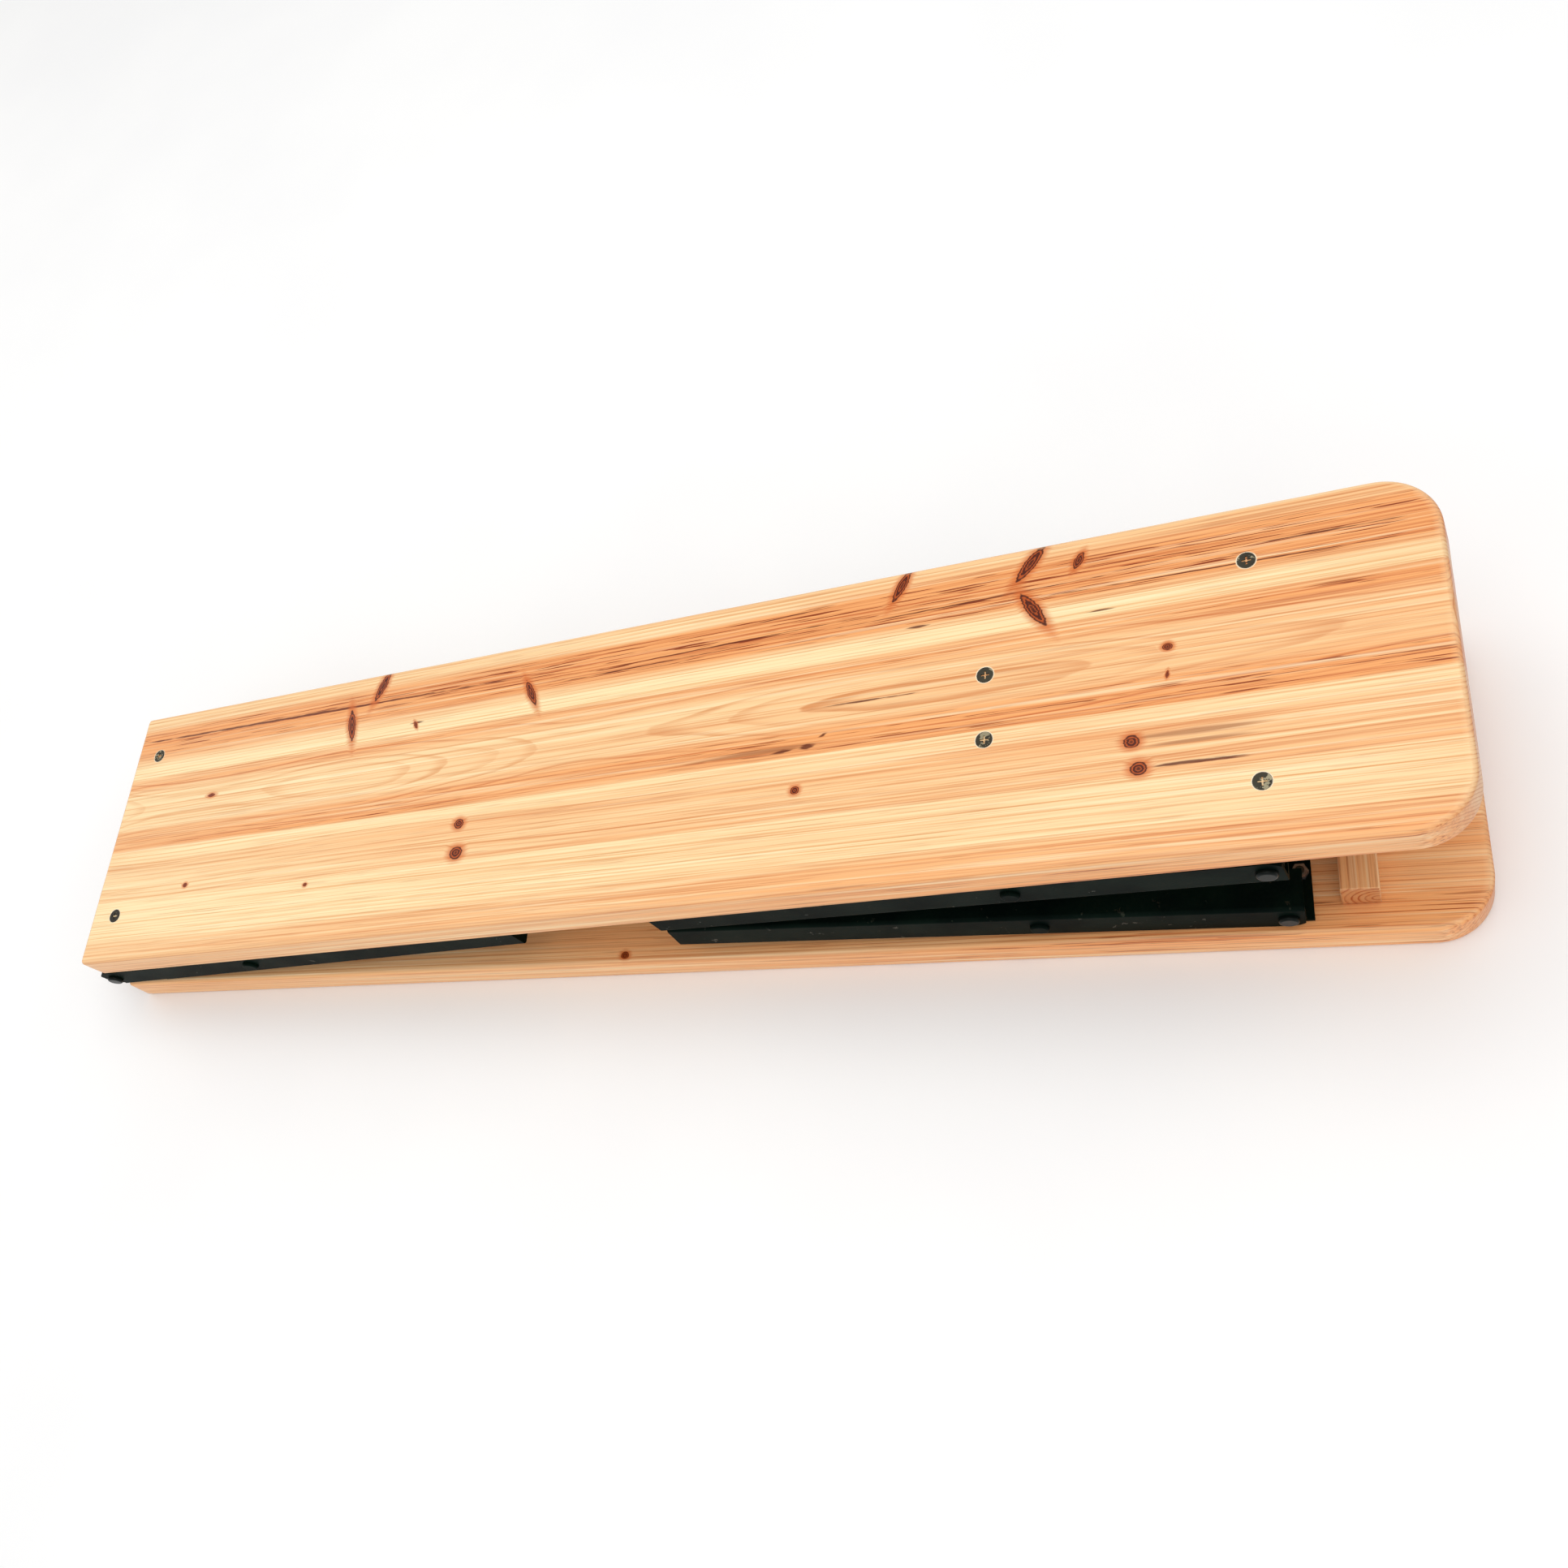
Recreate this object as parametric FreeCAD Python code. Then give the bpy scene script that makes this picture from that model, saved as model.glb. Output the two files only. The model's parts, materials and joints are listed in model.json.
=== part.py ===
import FreeCAD, Part
import math
import os

Vector = FreeCAD.Vector

# A bench whose long seat folds in half. It is modelled folded and lying down: the lower half has its
# seat face on the floor, the upper half is hinged to it at the joint end and rests a few degrees open,
# and the steel legs are folded in between.
#
# A half is drawn in its own frame. X runs from the joint end to the outer end, Y across the seat, and
# Z is the height off the board's inner face, so that the board itself lies below zero. The lower half
# only moves up by a board's thickness. The upper half is turned over about the fold axis.
# All sizes are in millimetres, all angles in degrees.

# ---- boards ----
BOARD_LENGTH = 1160.0
BOARD_WIDTH = 250.0
BOARD_THICKNESS = 30.0
OUTER_CORNER_RADIUS = 40.0
JOINT_CORNER_RADIUS = 4.0
ARRIS_RADIUS = 4.5
JOINT_GAP = 1.0                 # left between the two boards' ends when the bench is unfolded

# ---- joint and leg pivots ----
PIVOT_HEIGHT = 15.0             # of every leg pivot, and of the fold axis, off the inner face
LEG_PIVOT_FROM_END = 130.0      # from a board's outer end
PIN_RADIUS = 4.0
PIN_HEAD_RADIUS = 7.0
PIN_HEAD_HEIGHT = 3.0
RUNNING_CLEARANCE = 0.05        # between a pin and the hole that turns on it
SIDE_GAP = 0.5                  # between flat steel pieces that turn past each other
HEAD_GAP = 0.3                  # between a pin's head and the piece that turns under it
EAR_LIP_ROOM = 2.5              # between an ear's round head and the lip of the rail that swings over it
EAR_PLATE_ROOM = 1.0            # between an ear's round head and the plate that it stands on

# ---- legs ----
LEG_LENGTH = 451.0              # from pivot to foot
ROD_FROM_PIVOT = 168.0
ANGLE_SIZE = 30.0               # leg of the equal-sided steel angle
STEEL = 3.0                     # its thickness, and that of the plates and ears
ANGLE_CORNER_RADIUS = 3.0
ANGLE_ROOT_RADIUS = 2.0
RAIL_END_ROOM = 0.7             # between a standing leg's rail ends and the plate under them
RAIL_OFF_BOARD = 1.5            # from the board's face to the rail's edge
UPPER_RAIL_INSET = 1.0          # from the board's edge to the rail's outer face, at the pivot
LOWER_RAIL_INSET = 6.0
FOOT_TAPER = 4.0                # how much further in the feet of the wide frames stand
LOWER_LEG_LIFT = 2.5            # the folded stay props the lower leg up by this angle
OUTER_LEG_OPENING = 92.0        # from parallel with the board to standing
FEET_ROOM = 2.1                 # between the folded feet of the lower and upper legs
CENTRE_RAIL_OVERHANG = 11.0
CENTRE_RAIL_ROOM = 2.0          # between the folded centre leg and the lower board
CENTRE_RELIEF_MARGIN = 0.5      # of the centre rail's relief past its lip
CENTRE_RELIEF_PAST_PLATE = 3.0

# ---- plates and ears that carry the pivots ----
LEG_PLATE_WIDTH = 30.0
LEG_PLATE_PAST_PIVOT = 16.0     # of the plate's edge, towards the outer end
JOINT_PLATE_START = 13.0        # from the joint end
JOINT_PLATE_WIDTH = 36.0
EAR_FOOT_INSET = 2.0            # from the joint plate's far edge to the ear's foot

# ---- bolts through the boards ----
BOLT_RADIUS = 3.0
BOLT_HEAD_RADIUS = 6.0
BOLT_HEAD_DEPTH = 3.3
BOLT_PAST_PLATE = 6.5
RECESS_DEPTH = 1.6
RECESS_WIDTH = 1.3
RECESS_LENGTH = 6.4
NUT_ACROSS_FLATS = 10.0
NUT_HEIGHT = 5.0
WIDE_BOLT_SPACING = 162.5
NARROW_BOLT_SPACING = 51.0
LEG_BOLTS_FROM_END = 121.0
STAY_BOLTS_FROM_END = 302.0
JOINT_BOLTS_FROM_JOINT = 30.0

# ---- folding stays ----
STAY_HALF_WIDTH = 8.0
STAY_THICKNESS = 4.0
STAY_FROM_MIDDLE = 2.0          # from the bench's middle plane to each link's inner face
STAY_PIN_RADIUS = 3.0
STAY_HEAD_RADIUS = 5.5
STAY_HEAD_HEIGHT = 2.5
STAY_PIN_BEHIND_ROD = 16.0      # from the leg's rod to the bracket's pin, along the board
STAY_PIN_HEIGHT = 12.0
BOARD_LINK_LENGTH = 120.5       # between hole centres
LEG_LINK_LENGTH = 136.5
STAY_PLATE_LENGTH = 36.0
STAY_PLATE_WIDTH = 76.0
STAY_PLATE_PAST_PIN = 8.0
COLLAR_RADIUS = 8.0
COLLAR_WIDTH = 3.2

# ---- end battens ----
BATTEN_FROM_END = 71.0
BATTEN_WIDTH = 25.0
BATTEN_HEIGHT = 28.0
BATTEN_INSET = 20.0
BATTEN_EDGE_RADIUS = 1.5
BATTEN_SCREW_SPACING = 140.0
BATTEN_SCREW_RADIUS = 2.5
BATTEN_SCREW_HEAD_RADIUS = 5.0
BATTEN_SCREW_HEAD_DEPTH = 2.8
BATTEN_SCREW_LENGTH = 45.0

# ---- values that follow ----
HALF_WIDTH = BOARD_WIDTH / 2
LEG_PIVOT_X = BOARD_LENGTH - LEG_PIVOT_FROM_END
RAIL_LOW = RAIL_OFF_BOARD - PIVOT_HEIGHT        # heights of a rail's edges from its pivot
RAIL_HIGH = RAIL_LOW + ANGLE_SIZE
EAR_RADIUS = min(RAIL_HIGH - STEEL - EAR_LIP_ROOM, PIVOT_HEIGHT - STEEL - EAR_PLATE_ROOM)
JOINT_REACH = max(CENTRE_RAIL_OVERHANG, EAR_RADIUS)      # of the steel past the boards' joint ends
JOINT_X = -(BOARD_LENGTH - JOINT_REACH) / 2             # centres the folded bench on the origin
JOINT_PLATE_END = JOINT_PLATE_START + JOINT_PLATE_WIDTH
UPPER_EAR_OUTSIDE = HALF_WIDTH - UPPER_RAIL_INSET - STEEL - SIDE_GAP
STAY_PIN_X = LEG_PIVOT_X - ROD_FROM_PIVOT - STAY_PIN_BEHIND_ROD
STAY_PLATE_START = STAY_PIN_X - STAY_PLATE_PAST_PIN


def rail_overhang():
    """How far an outer leg's rail reaches past its pivot: down to the plate when the leg stands."""
    opening = math.radians(OUTER_LEG_OPENING)
    room = PIVOT_HEIGHT - STEEL - RAIL_END_ROOM
    return (room + RAIL_HIGH * math.cos(opening)) / math.sin(opening)


def folded_angle():
    """The angle between the folded boards: the lower leg's foot just clears the upper leg's rails."""
    lift = math.radians(LOWER_LEG_LIFT)
    foot_x = LEG_PIVOT_X - LEG_LENGTH * math.cos(lift) + RAIL_HIGH * math.sin(lift)
    foot_rise = LEG_LENGTH * math.sin(lift) + RAIL_HIGH * math.cos(lift)
    needed = RAIL_OFF_BOARD + ANGLE_SIZE + FEET_ROOM - PIVOT_HEIGHT
    return math.degrees(math.asin(needed / math.hypot(foot_x, foot_rise)) + math.atan2(foot_rise, foot_x))


FOLDED_ANGLE = folded_angle()   # 5.4 degrees
RAIL_OVERHANG = rail_overhang()
CENTRE_RELIEF_DEPTH = max(RAIL_HIGH - PIVOT_HEIGHT + CENTRE_RAIL_ROOM, STEEL + CENTRE_RELIEF_MARGIN)
CENTRE_RELIEF_LENGTH = max(
    JOINT_PLATE_END + CENTRE_RELIEF_PAST_PLATE,
    (RAIL_HIGH - PIVOT_HEIGHT + CENTRE_RAIL_ROOM) / math.tan(math.radians(FOLDED_ANGLE)))


# ---- small shapes ----
def box(x, y, z):
    """A block between pairs of limits along X, Y and Z."""
    low = Vector(x[0], y[0], z[0])
    return Part.makeBox(x[1] - x[0], y[1] - y[0], z[1] - z[0], low)


def rod_y(x, z, radius, y_from, y_to):
    """A cylinder along Y."""
    return Part.makeCylinder(radius, y_to - y_from, Vector(x, y_from, z), Vector(0, 1, 0))


def rod_z(x, y, radius, z_from, z_to):
    """A cylinder along Z."""
    return Part.makeCylinder(radius, z_to - z_from, Vector(x, y, z_from), Vector(0, 0, 1))


def head_y(x, z, radius, y_inner, y_outer):
    """A rivet head along Y, rounded on its outer rim. y_inner is the side that seats."""
    low, high = min(y_inner, y_outer), max(y_inner, y_outer)
    head = rod_y(x, z, radius, low, high)
    rim = [e for e in head.Edges if e.Closed and abs(e.CenterOfMass.y - y_outer) < 0.001]
    return head.makeFillet(0.6 * (high - low), rim)


def rounded_outline(points, radii):
    """A closed wire through points in one plane, each corner rounded by its own radius (0 is sharp)."""
    edges = []
    starts, ends = [], []
    for i, point in enumerate(points):
        before = (points[i - 1] - point).normalize()
        after = (points[(i + 1) % len(points)] - point).normalize()
        radius = radii[i]
        half_turn = before.getAngle(after) / 2
        reach = radius / math.tan(half_turn)
        first = point + before * reach
        last = point + after * reach
        if radius > 0:
            middle_way = (before + after).normalize()
            centre = point + middle_way * (radius / math.sin(half_turn))
            edges.append(Part.Arc(first, centre - middle_way * radius, last).toShape())
        starts.append(first)
        ends.append(last)
    count = len(points)
    for i in range(count):
        edges.append(Part.makeLine(ends[i], starts[(i + 1) % count]))
    return Part.Wire(Part.__sortEdges__(edges))


def turned(shape, x, z, angle):
    """A copy turned about an axis along Y through (x, z). A positive angle lifts the outer end."""
    copy = shape.copy()
    copy.rotate(Vector(x, 0, z), Vector(0, 1, 0), -angle)
    return copy


def group(shapes):
    return shapes[0] if len(shapes) == 1 else Part.makeCompound(shapes)


# ---- the pieces of one half ----
def countersunk_bolt(x, y, tip_z):
    """A flush bolt through the board, its cross recess in the seat face."""
    face = -BOARD_THICKNESS
    head = Part.makeCone(BOLT_HEAD_RADIUS, BOLT_RADIUS, BOLT_HEAD_DEPTH, Vector(x, y, face))
    bolt = head.fuse(rod_z(x, y, BOLT_RADIUS, face, tip_z)).removeSplitter()
    half_long, half_wide = RECESS_LENGTH / 2, RECESS_WIDTH / 2
    for long_x, long_y in ((half_long, half_wide), (half_wide, half_long)):
        arm = box((x - long_x, x + long_x), (y - long_y, y + long_y), (face - 1, face + RECESS_DEPTH))
        bolt = bolt.cut(arm)
    return bolt


def bolt_space(x, y):
    """What a countersunk bolt takes out of the board."""
    face = -BOARD_THICKNESS
    head = Part.makeCone(BOLT_HEAD_RADIUS, BOLT_RADIUS, BOLT_HEAD_DEPTH, Vector(x, y, face))
    return head.fuse(rod_z(x, y, BOLT_RADIUS, face - 1, 1))


def nut(x, y):
    """A hexagon nut on a plate."""
    corner = NUT_ACROSS_FLATS / 2 / math.cos(math.pi / 6)
    turns = [math.radians(60 * i) for i in range(6)]
    points = [Vector(x + corner * math.cos(a), y + corner * math.sin(a), STEEL) for a in turns]
    blank = Part.Face(Part.makePolygon(points + points[:1])).extrude(Vector(0, 0, NUT_HEIGHT))
    return blank.cut(rod_z(x, y, BOLT_RADIUS, 0, STEEL + NUT_HEIGHT + 1))


def batten_screw(x, y):
    """A wood screw sunk in the batten's face, its point in the board."""
    top = BATTEN_HEIGHT
    neck = top - BATTEN_SCREW_HEAD_DEPTH
    point = top - BATTEN_SCREW_LENGTH
    taper = 2 * BATTEN_SCREW_RADIUS
    head = Part.makeCone(BATTEN_SCREW_RADIUS, BATTEN_SCREW_HEAD_RADIUS, BATTEN_SCREW_HEAD_DEPTH,
                         Vector(x, y, neck))
    shank = rod_z(x, y, BATTEN_SCREW_RADIUS, point + taper, top)
    tip = Part.makeCone(0.3, BATTEN_SCREW_RADIUS, taper, Vector(x, y, point))
    return head.fuse([shank, tip]).removeSplitter()


def bolt_places(x, spacing):
    return [(x, -spacing / 2), (x, spacing / 2)]


LEG_BOLTS = bolt_places(BOARD_LENGTH - LEG_BOLTS_FROM_END, WIDE_BOLT_SPACING)
STAY_BOLTS = bolt_places(BOARD_LENGTH - STAY_BOLTS_FROM_END, NARROW_BOLT_SPACING)
JOINT_BOLTS = bolt_places(JOINT_BOLTS_FROM_JOINT, WIDE_BOLT_SPACING)
BATTEN_X = BOARD_LENGTH - BATTEN_FROM_END - BATTEN_WIDTH / 2
BATTEN_SCREWS = bolt_places(BATTEN_X, BATTEN_SCREW_SPACING)


def board():
    """The seat board: square at the joint end, round-cornered at the outer end, with soft arrises."""
    start = JOINT_GAP / 2
    plan = [Vector(start, -HALF_WIDTH, 0), Vector(BOARD_LENGTH, -HALF_WIDTH, 0),
            Vector(BOARD_LENGTH, HALF_WIDTH, 0), Vector(start, HALF_WIDTH, 0)]
    radii = [JOINT_CORNER_RADIUS, OUTER_CORNER_RADIUS, OUTER_CORNER_RADIUS, JOINT_CORNER_RADIUS]
    slab = Part.Face(rounded_outline(plan, radii)).extrude(Vector(0, 0, -BOARD_THICKNESS))
    flat = [e for e in slab.Edges if e.BoundBox.ZLength < 0.001]
    slab = slab.makeFillet(min(ARRIS_RADIUS, JOINT_CORNER_RADIUS - 0.5), flat)
    spaces = [bolt_space(*place) for place in LEG_BOLTS + STAY_BOLTS + JOINT_BOLTS]
    spaces += [batten_screw(*place) for place in BATTEN_SCREWS]
    return slab.cut(spaces)


def batten():
    """The cross batten near the outer end, with its two screw holes."""
    reach = HALF_WIDTH - BATTEN_INSET
    bar = box((BATTEN_X - BATTEN_WIDTH / 2, BATTEN_X + BATTEN_WIDTH / 2), (-reach, reach),
              (0, BATTEN_HEIGHT))
    upper_edges = [e for e in bar.Edges if e.CenterOfMass.z > 0.1]
    bar = bar.makeFillet(BATTEN_EDGE_RADIUS, upper_edges)
    return bar.cut([batten_screw(*place) for place in BATTEN_SCREWS])


def plate(x_from, x_to, half_width, bolts):
    """A flat steel bar on the board's inner face, drilled for its bolts."""
    bar = box((x_from, x_to), (-half_width, half_width), (0, STEEL))
    return bar.cut([rod_z(x, y, BOLT_RADIUS, -1, STEEL + 1) for x, y in bolts])


def ear(pivot_x, foot_from, foot_to, y_outside, side, hole_radius):
    """An upright ear on a plate, its round head about the pivot."""
    y_low = y_outside - STEEL if side > 0 else -y_outside
    y_high = y_low + STEEL
    base = [Vector(foot_from, y_low, STEEL), Vector(foot_to, y_low, STEEL)]
    web = []
    for point in base:
        away = point.x - pivot_x
        drop = PIVOT_HEIGHT - STEEL
        far = math.hypot(away, drop)
        # the straight flank from the plate touches the round head where the radius is square to it
        swing = math.acos(EAR_RADIUS / far)
        bearing = math.atan2(-drop, away)
        turn = swing if point is base[1] else -swing
        web.append(Vector(pivot_x + EAR_RADIUS * math.cos(bearing + turn), y_low,
                          PIVOT_HEIGHT + EAR_RADIUS * math.sin(bearing + turn)))
    corners = [base[0], base[1], web[1], web[0], base[0]]
    flank = Part.Face(Part.makePolygon(corners)).extrude(Vector(0, STEEL, 0))
    head = rod_y(pivot_x, PIVOT_HEIGHT, EAR_RADIUS, y_low, y_high)
    blank = flank.fuse(head).removeSplitter()
    return blank.cut(rod_y(pivot_x, PIVOT_HEIGHT, hole_radius, y_low - 1, y_high + 1))


def leg_ears(rail_inset):
    outside = HALF_WIDTH - rail_inset - STEEL - SIDE_GAP
    foot = (LEG_PIVOT_X - EAR_RADIUS, LEG_PIVOT_X + EAR_RADIUS)
    return [ear(LEG_PIVOT_X, *foot, outside, side, PIN_RADIUS) for side in (-1, 1)]


def leg_pivot_rivets(rail_inset):
    """Two headed pins, tight in the ears. The rails turn on them."""
    rail_face = HALF_WIDTH - rail_inset
    ear_inside = rail_face - 2 * STEEL - SIDE_GAP
    rivets = []
    for side in (-1, 1):
        seat, tail = side * (rail_face + HEAD_GAP), side * ear_inside
        shank = rod_y(LEG_PIVOT_X, PIVOT_HEIGHT, PIN_RADIUS, min(seat, tail), max(seat, tail))
        head = head_y(LEG_PIVOT_X, PIVOT_HEIGHT, PIN_HEAD_RADIUS, seat, seat + side * PIN_HEAD_HEIGHT)
        closed = head_y(LEG_PIVOT_X, PIVOT_HEIGHT, PIN_HEAD_RADIUS, tail, tail - side * PIN_HEAD_HEIGHT)
        rivets.append(shank.fuse([head, closed]).removeSplitter())
    return rivets


# ---- a leg, drawn with its pivot at the origin, its foot along +X and its board below ----
def rail(side, inset, taper, overhang, relieved):
    """One steel angle. Its flange faces out, and its other leg is on the side away from the board."""
    face = HALF_WIDTH - inset
    long_run = LEG_LENGTH + overhang
    drift = taper * long_run / LEG_LENGTH
    face_at_end = face + taper * overhang / LEG_LENGTH
    inner = face_at_end - STEEL
    lip = face_at_end - ANGLE_SIZE
    section = [(face_at_end, RAIL_LOW), (face_at_end, RAIL_HIGH), (lip, RAIL_HIGH),
               (lip, RAIL_HIGH - STEEL), (inner, RAIL_HIGH - STEEL), (inner, RAIL_LOW)]
    points = [Vector(-overhang, side * y, z) for y, z in section]
    radii = [0, ANGLE_CORNER_RADIUS, 0, 0, ANGLE_ROOT_RADIUS, 0]
    bar = Part.Face(rounded_outline(points, radii)).extrude(Vector(long_run, -side * drift, 0))
    # the end by the pivot is rounded on the board's side, so that the rail can swing
    wide = (side * face - 40, side * face + 40)
    below = box((-overhang - 1, 0), wide, (RAIL_LOW - 1, 0))
    bar = bar.cut(below.cut(rod_y(0, 0, -RAIL_LOW, *wide)))
    if relieved:
        relief = box((-overhang - 1, CENTRE_RELIEF_LENGTH), wide,
                     (RAIL_HIGH - CENTRE_RELIEF_DEPTH, RAIL_HIGH + 1))
        above = box((-overhang - 1, 0), wide, (0, RAIL_HIGH + 1))
        bar = bar.cut([relief, above.cut(rod_y(0, 0, overhang, *wide))])
    hole = rod_y(0, 0, PIN_RADIUS + RUNNING_CLEARANCE, *wide)
    rod_hole = rod_y(ROD_FROM_PIVOT, 0, PIN_RADIUS, *wide)
    return bar.cut([hole, rod_hole])


def foot_bar(inset, taper):
    """A short angle across the feet: its end plate stands on the ground."""
    reach = HALF_WIDTH - inset - taper - STEEL
    high = RAIL_HIGH - STEEL
    section = [(LEG_LENGTH, RAIL_LOW), (LEG_LENGTH, high), (LEG_LENGTH - ANGLE_SIZE, high),
               (LEG_LENGTH - ANGLE_SIZE, high - STEEL), (LEG_LENGTH - STEEL, high - STEEL),
               (LEG_LENGTH - STEEL, RAIL_LOW)]
    points = [Vector(x, -reach, z) for x, z in section]
    outline = rounded_outline(points, [0, 0, 0, 0, ANGLE_ROOT_RADIUS, 0])
    return Part.Face(outline).extrude(Vector(0, 2 * reach, 0))


def cross_rod(inset, taper):
    """The rod that ties the two rails, with a head on each rail's outer face."""
    face = HALF_WIDTH - inset - taper * ROD_FROM_PIVOT / LEG_LENGTH + RUNNING_CLEARANCE
    bar = rod_y(ROD_FROM_PIVOT, 0, PIN_RADIUS, -face, face)
    heads = [head_y(ROD_FROM_PIVOT, 0, PIN_HEAD_RADIUS, side * face, side * (face + PIN_HEAD_HEIGHT))
             for side in (-1, 1)]
    return bar.fuse(heads).removeSplitter()


def leg(inset, taper, overhang, relieved):
    """The welded frame of one leg, by piece. The foot bar is coped to fit the rails' root radius."""
    left, right = [rail(side, inset, taper, overhang, relieved) for side in (-1, 1)]
    return {
        "left_rail": [left],
        "right_rail": [right],
        "foot_bar": [foot_bar(inset, taper).cut([left, right])],
        "cross_rod": [cross_rod(inset, taper)],
    }


def leg_to_board(shape, lift):
    """Puts an outer leg under its board: foot towards the joint, raised by lift."""
    copy = shape.copy()
    copy.rotate(Vector(0, 0, 0), Vector(0, 0, 1), 180)
    copy.rotate(Vector(0, 0, 0), Vector(0, 1, 0), lift)
    copy.translate(Vector(LEG_PIVOT_X, 0, PIVOT_HEIGHT))
    return copy


# ---- a folding stay ----
def rod_place(angle):
    """Where the leg's rod is, as (x, z), with the leg opened by angle from parallel."""
    turn = math.radians(angle)
    return (LEG_PIVOT_X - ROD_FROM_PIVOT * math.cos(turn), PIVOT_HEIGHT + ROD_FROM_PIVOT * math.sin(turn))


def knee_place(angle):
    """Where the stay's two links meet, on the side away from the leg's pivot."""
    x, z = rod_place(angle)
    away_x, away_z = x - STAY_PIN_X, z - STAY_PIN_HEIGHT
    span = math.hypot(away_x, away_z)
    cosine = (BOARD_LINK_LENGTH ** 2 + span ** 2 - LEG_LINK_LENGTH ** 2) / (2 * BOARD_LINK_LENGTH * span)
    bearing = math.atan2(away_z, away_x) + math.acos(max(-1.0, min(1.0, cosine)))
    return (STAY_PIN_X + BOARD_LINK_LENGTH * math.cos(bearing),
            STAY_PIN_HEIGHT + BOARD_LINK_LENGTH * math.sin(bearing))


def link(first, last, y_from, first_hole, last_hole):
    """A flat bar with round ends and a hole at each end."""
    run = Vector(last[0] - first[0], 0, last[1] - first[1])
    across = Vector(-run.z, 0, run.x).normalize() * STAY_HALF_WIDTH
    a, b = Vector(first[0], y_from, first[1]), Vector(last[0], y_from, last[1])
    corners = [a + across, b + across, b - across, a - across, a + across]
    bar = Part.Face(Part.makePolygon(corners)).extrude(Vector(0, STAY_THICKNESS, 0))
    y_to = y_from + STAY_THICKNESS
    ends = [rod_y(point[0], point[1], STAY_HALF_WIDTH, y_from, y_to) for point in (first, last)]
    holes = [rod_y(first[0], first[1], first_hole, y_from - 1, y_to + 1),
             rod_y(last[0], last[1], last_hole, y_from - 1, y_to + 1)]
    return bar.fuse(ends).removeSplitter().cut(holes)


def knee_rivet(place, side):
    """Half of the knee's rivet, tight in one link, with a spacer that nearly meets the other half."""
    inner, outer = side * STAY_FROM_MIDDLE, side * (STAY_FROM_MIDDLE + STAY_THICKNESS)
    middle = side * HEAD_GAP / 2
    shank = rod_y(place[0], place[1], STAY_PIN_RADIUS, min(middle, outer), max(middle, outer))
    spacer = rod_y(place[0], place[1], STAY_HEAD_RADIUS, min(middle, inner), max(middle, inner))
    head = head_y(place[0], place[1], STAY_HEAD_RADIUS, outer, outer + side * STAY_HEAD_HEIGHT)
    return shank.fuse([spacer, head]).removeSplitter()


def stay(lift):
    """The two links of a stay, its knee, its pin in the bracket and the collars on the leg's rod."""
    pin, knee, rod = (STAY_PIN_X, STAY_PIN_HEIGHT), knee_place(lift), rod_place(lift)
    link_outside = STAY_FROM_MIDDLE + STAY_THICKNESS
    loose_pin = STAY_PIN_RADIUS + RUNNING_CLEARANCE
    loose_rod = PIN_RADIUS + RUNNING_CLEARANCE
    ear_inside = link_outside + SIDE_GAP
    seat = STAY_FROM_MIDDLE - HEAD_GAP
    shank = rod_y(pin[0], pin[1], STAY_PIN_RADIUS, seat, ear_inside + STEEL)
    inner_head = rod_y(pin[0], pin[1], STAY_HEAD_RADIUS - 1, HEAD_GAP, seat)
    outer_head = head_y(pin[0], pin[1], STAY_HEAD_RADIUS, ear_inside + STEEL,
                        ear_inside + STEEL + STAY_HEAD_HEIGHT)
    collars = []
    for y_near in (-STAY_FROM_MIDDLE + HEAD_GAP, -link_outside - HEAD_GAP - COLLAR_WIDTH):
        ring = rod_y(rod[0], rod[1], COLLAR_RADIUS, y_near, y_near + COLLAR_WIDTH)
        collars.append(ring.cut(rod_y(rod[0], rod[1], PIN_RADIUS, y_near - 1, y_near + COLLAR_WIDTH + 1)))
    return {
        "stay_board_link": [link(pin, knee, STAY_FROM_MIDDLE, loose_pin, STAY_PIN_RADIUS)],
        "stay_board_link_rivet": [knee_rivet(knee, 1)],
        "stay_leg_link": [link(rod, knee, -link_outside, loose_rod, STAY_PIN_RADIUS)],
        "stay_leg_link_rivet": [knee_rivet(knee, -1)],
        "stay_bracket_pin": [shank.fuse([inner_head, outer_head]).removeSplitter()],
        "leg_rod_collars": collars,
    }


def stay_ear():
    """The single upright ear of the stay's bracket."""
    y_low = STAY_FROM_MIDDLE + STAY_THICKNESS + SIDE_GAP
    stem = box((STAY_PIN_X - STAY_HALF_WIDTH, STAY_PIN_X + STAY_HALF_WIDTH), (y_low, y_low + STEEL),
               (STEEL, STAY_PIN_HEIGHT))
    top = rod_y(STAY_PIN_X, STAY_PIN_HEIGHT, STAY_HALF_WIDTH, y_low, y_low + STEEL)
    hole = rod_y(STAY_PIN_X, STAY_PIN_HEIGHT, STAY_PIN_RADIUS, y_low - 1, y_low + STEEL + 1)
    return stem.fuse(top).removeSplitter().cut(hole)


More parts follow.
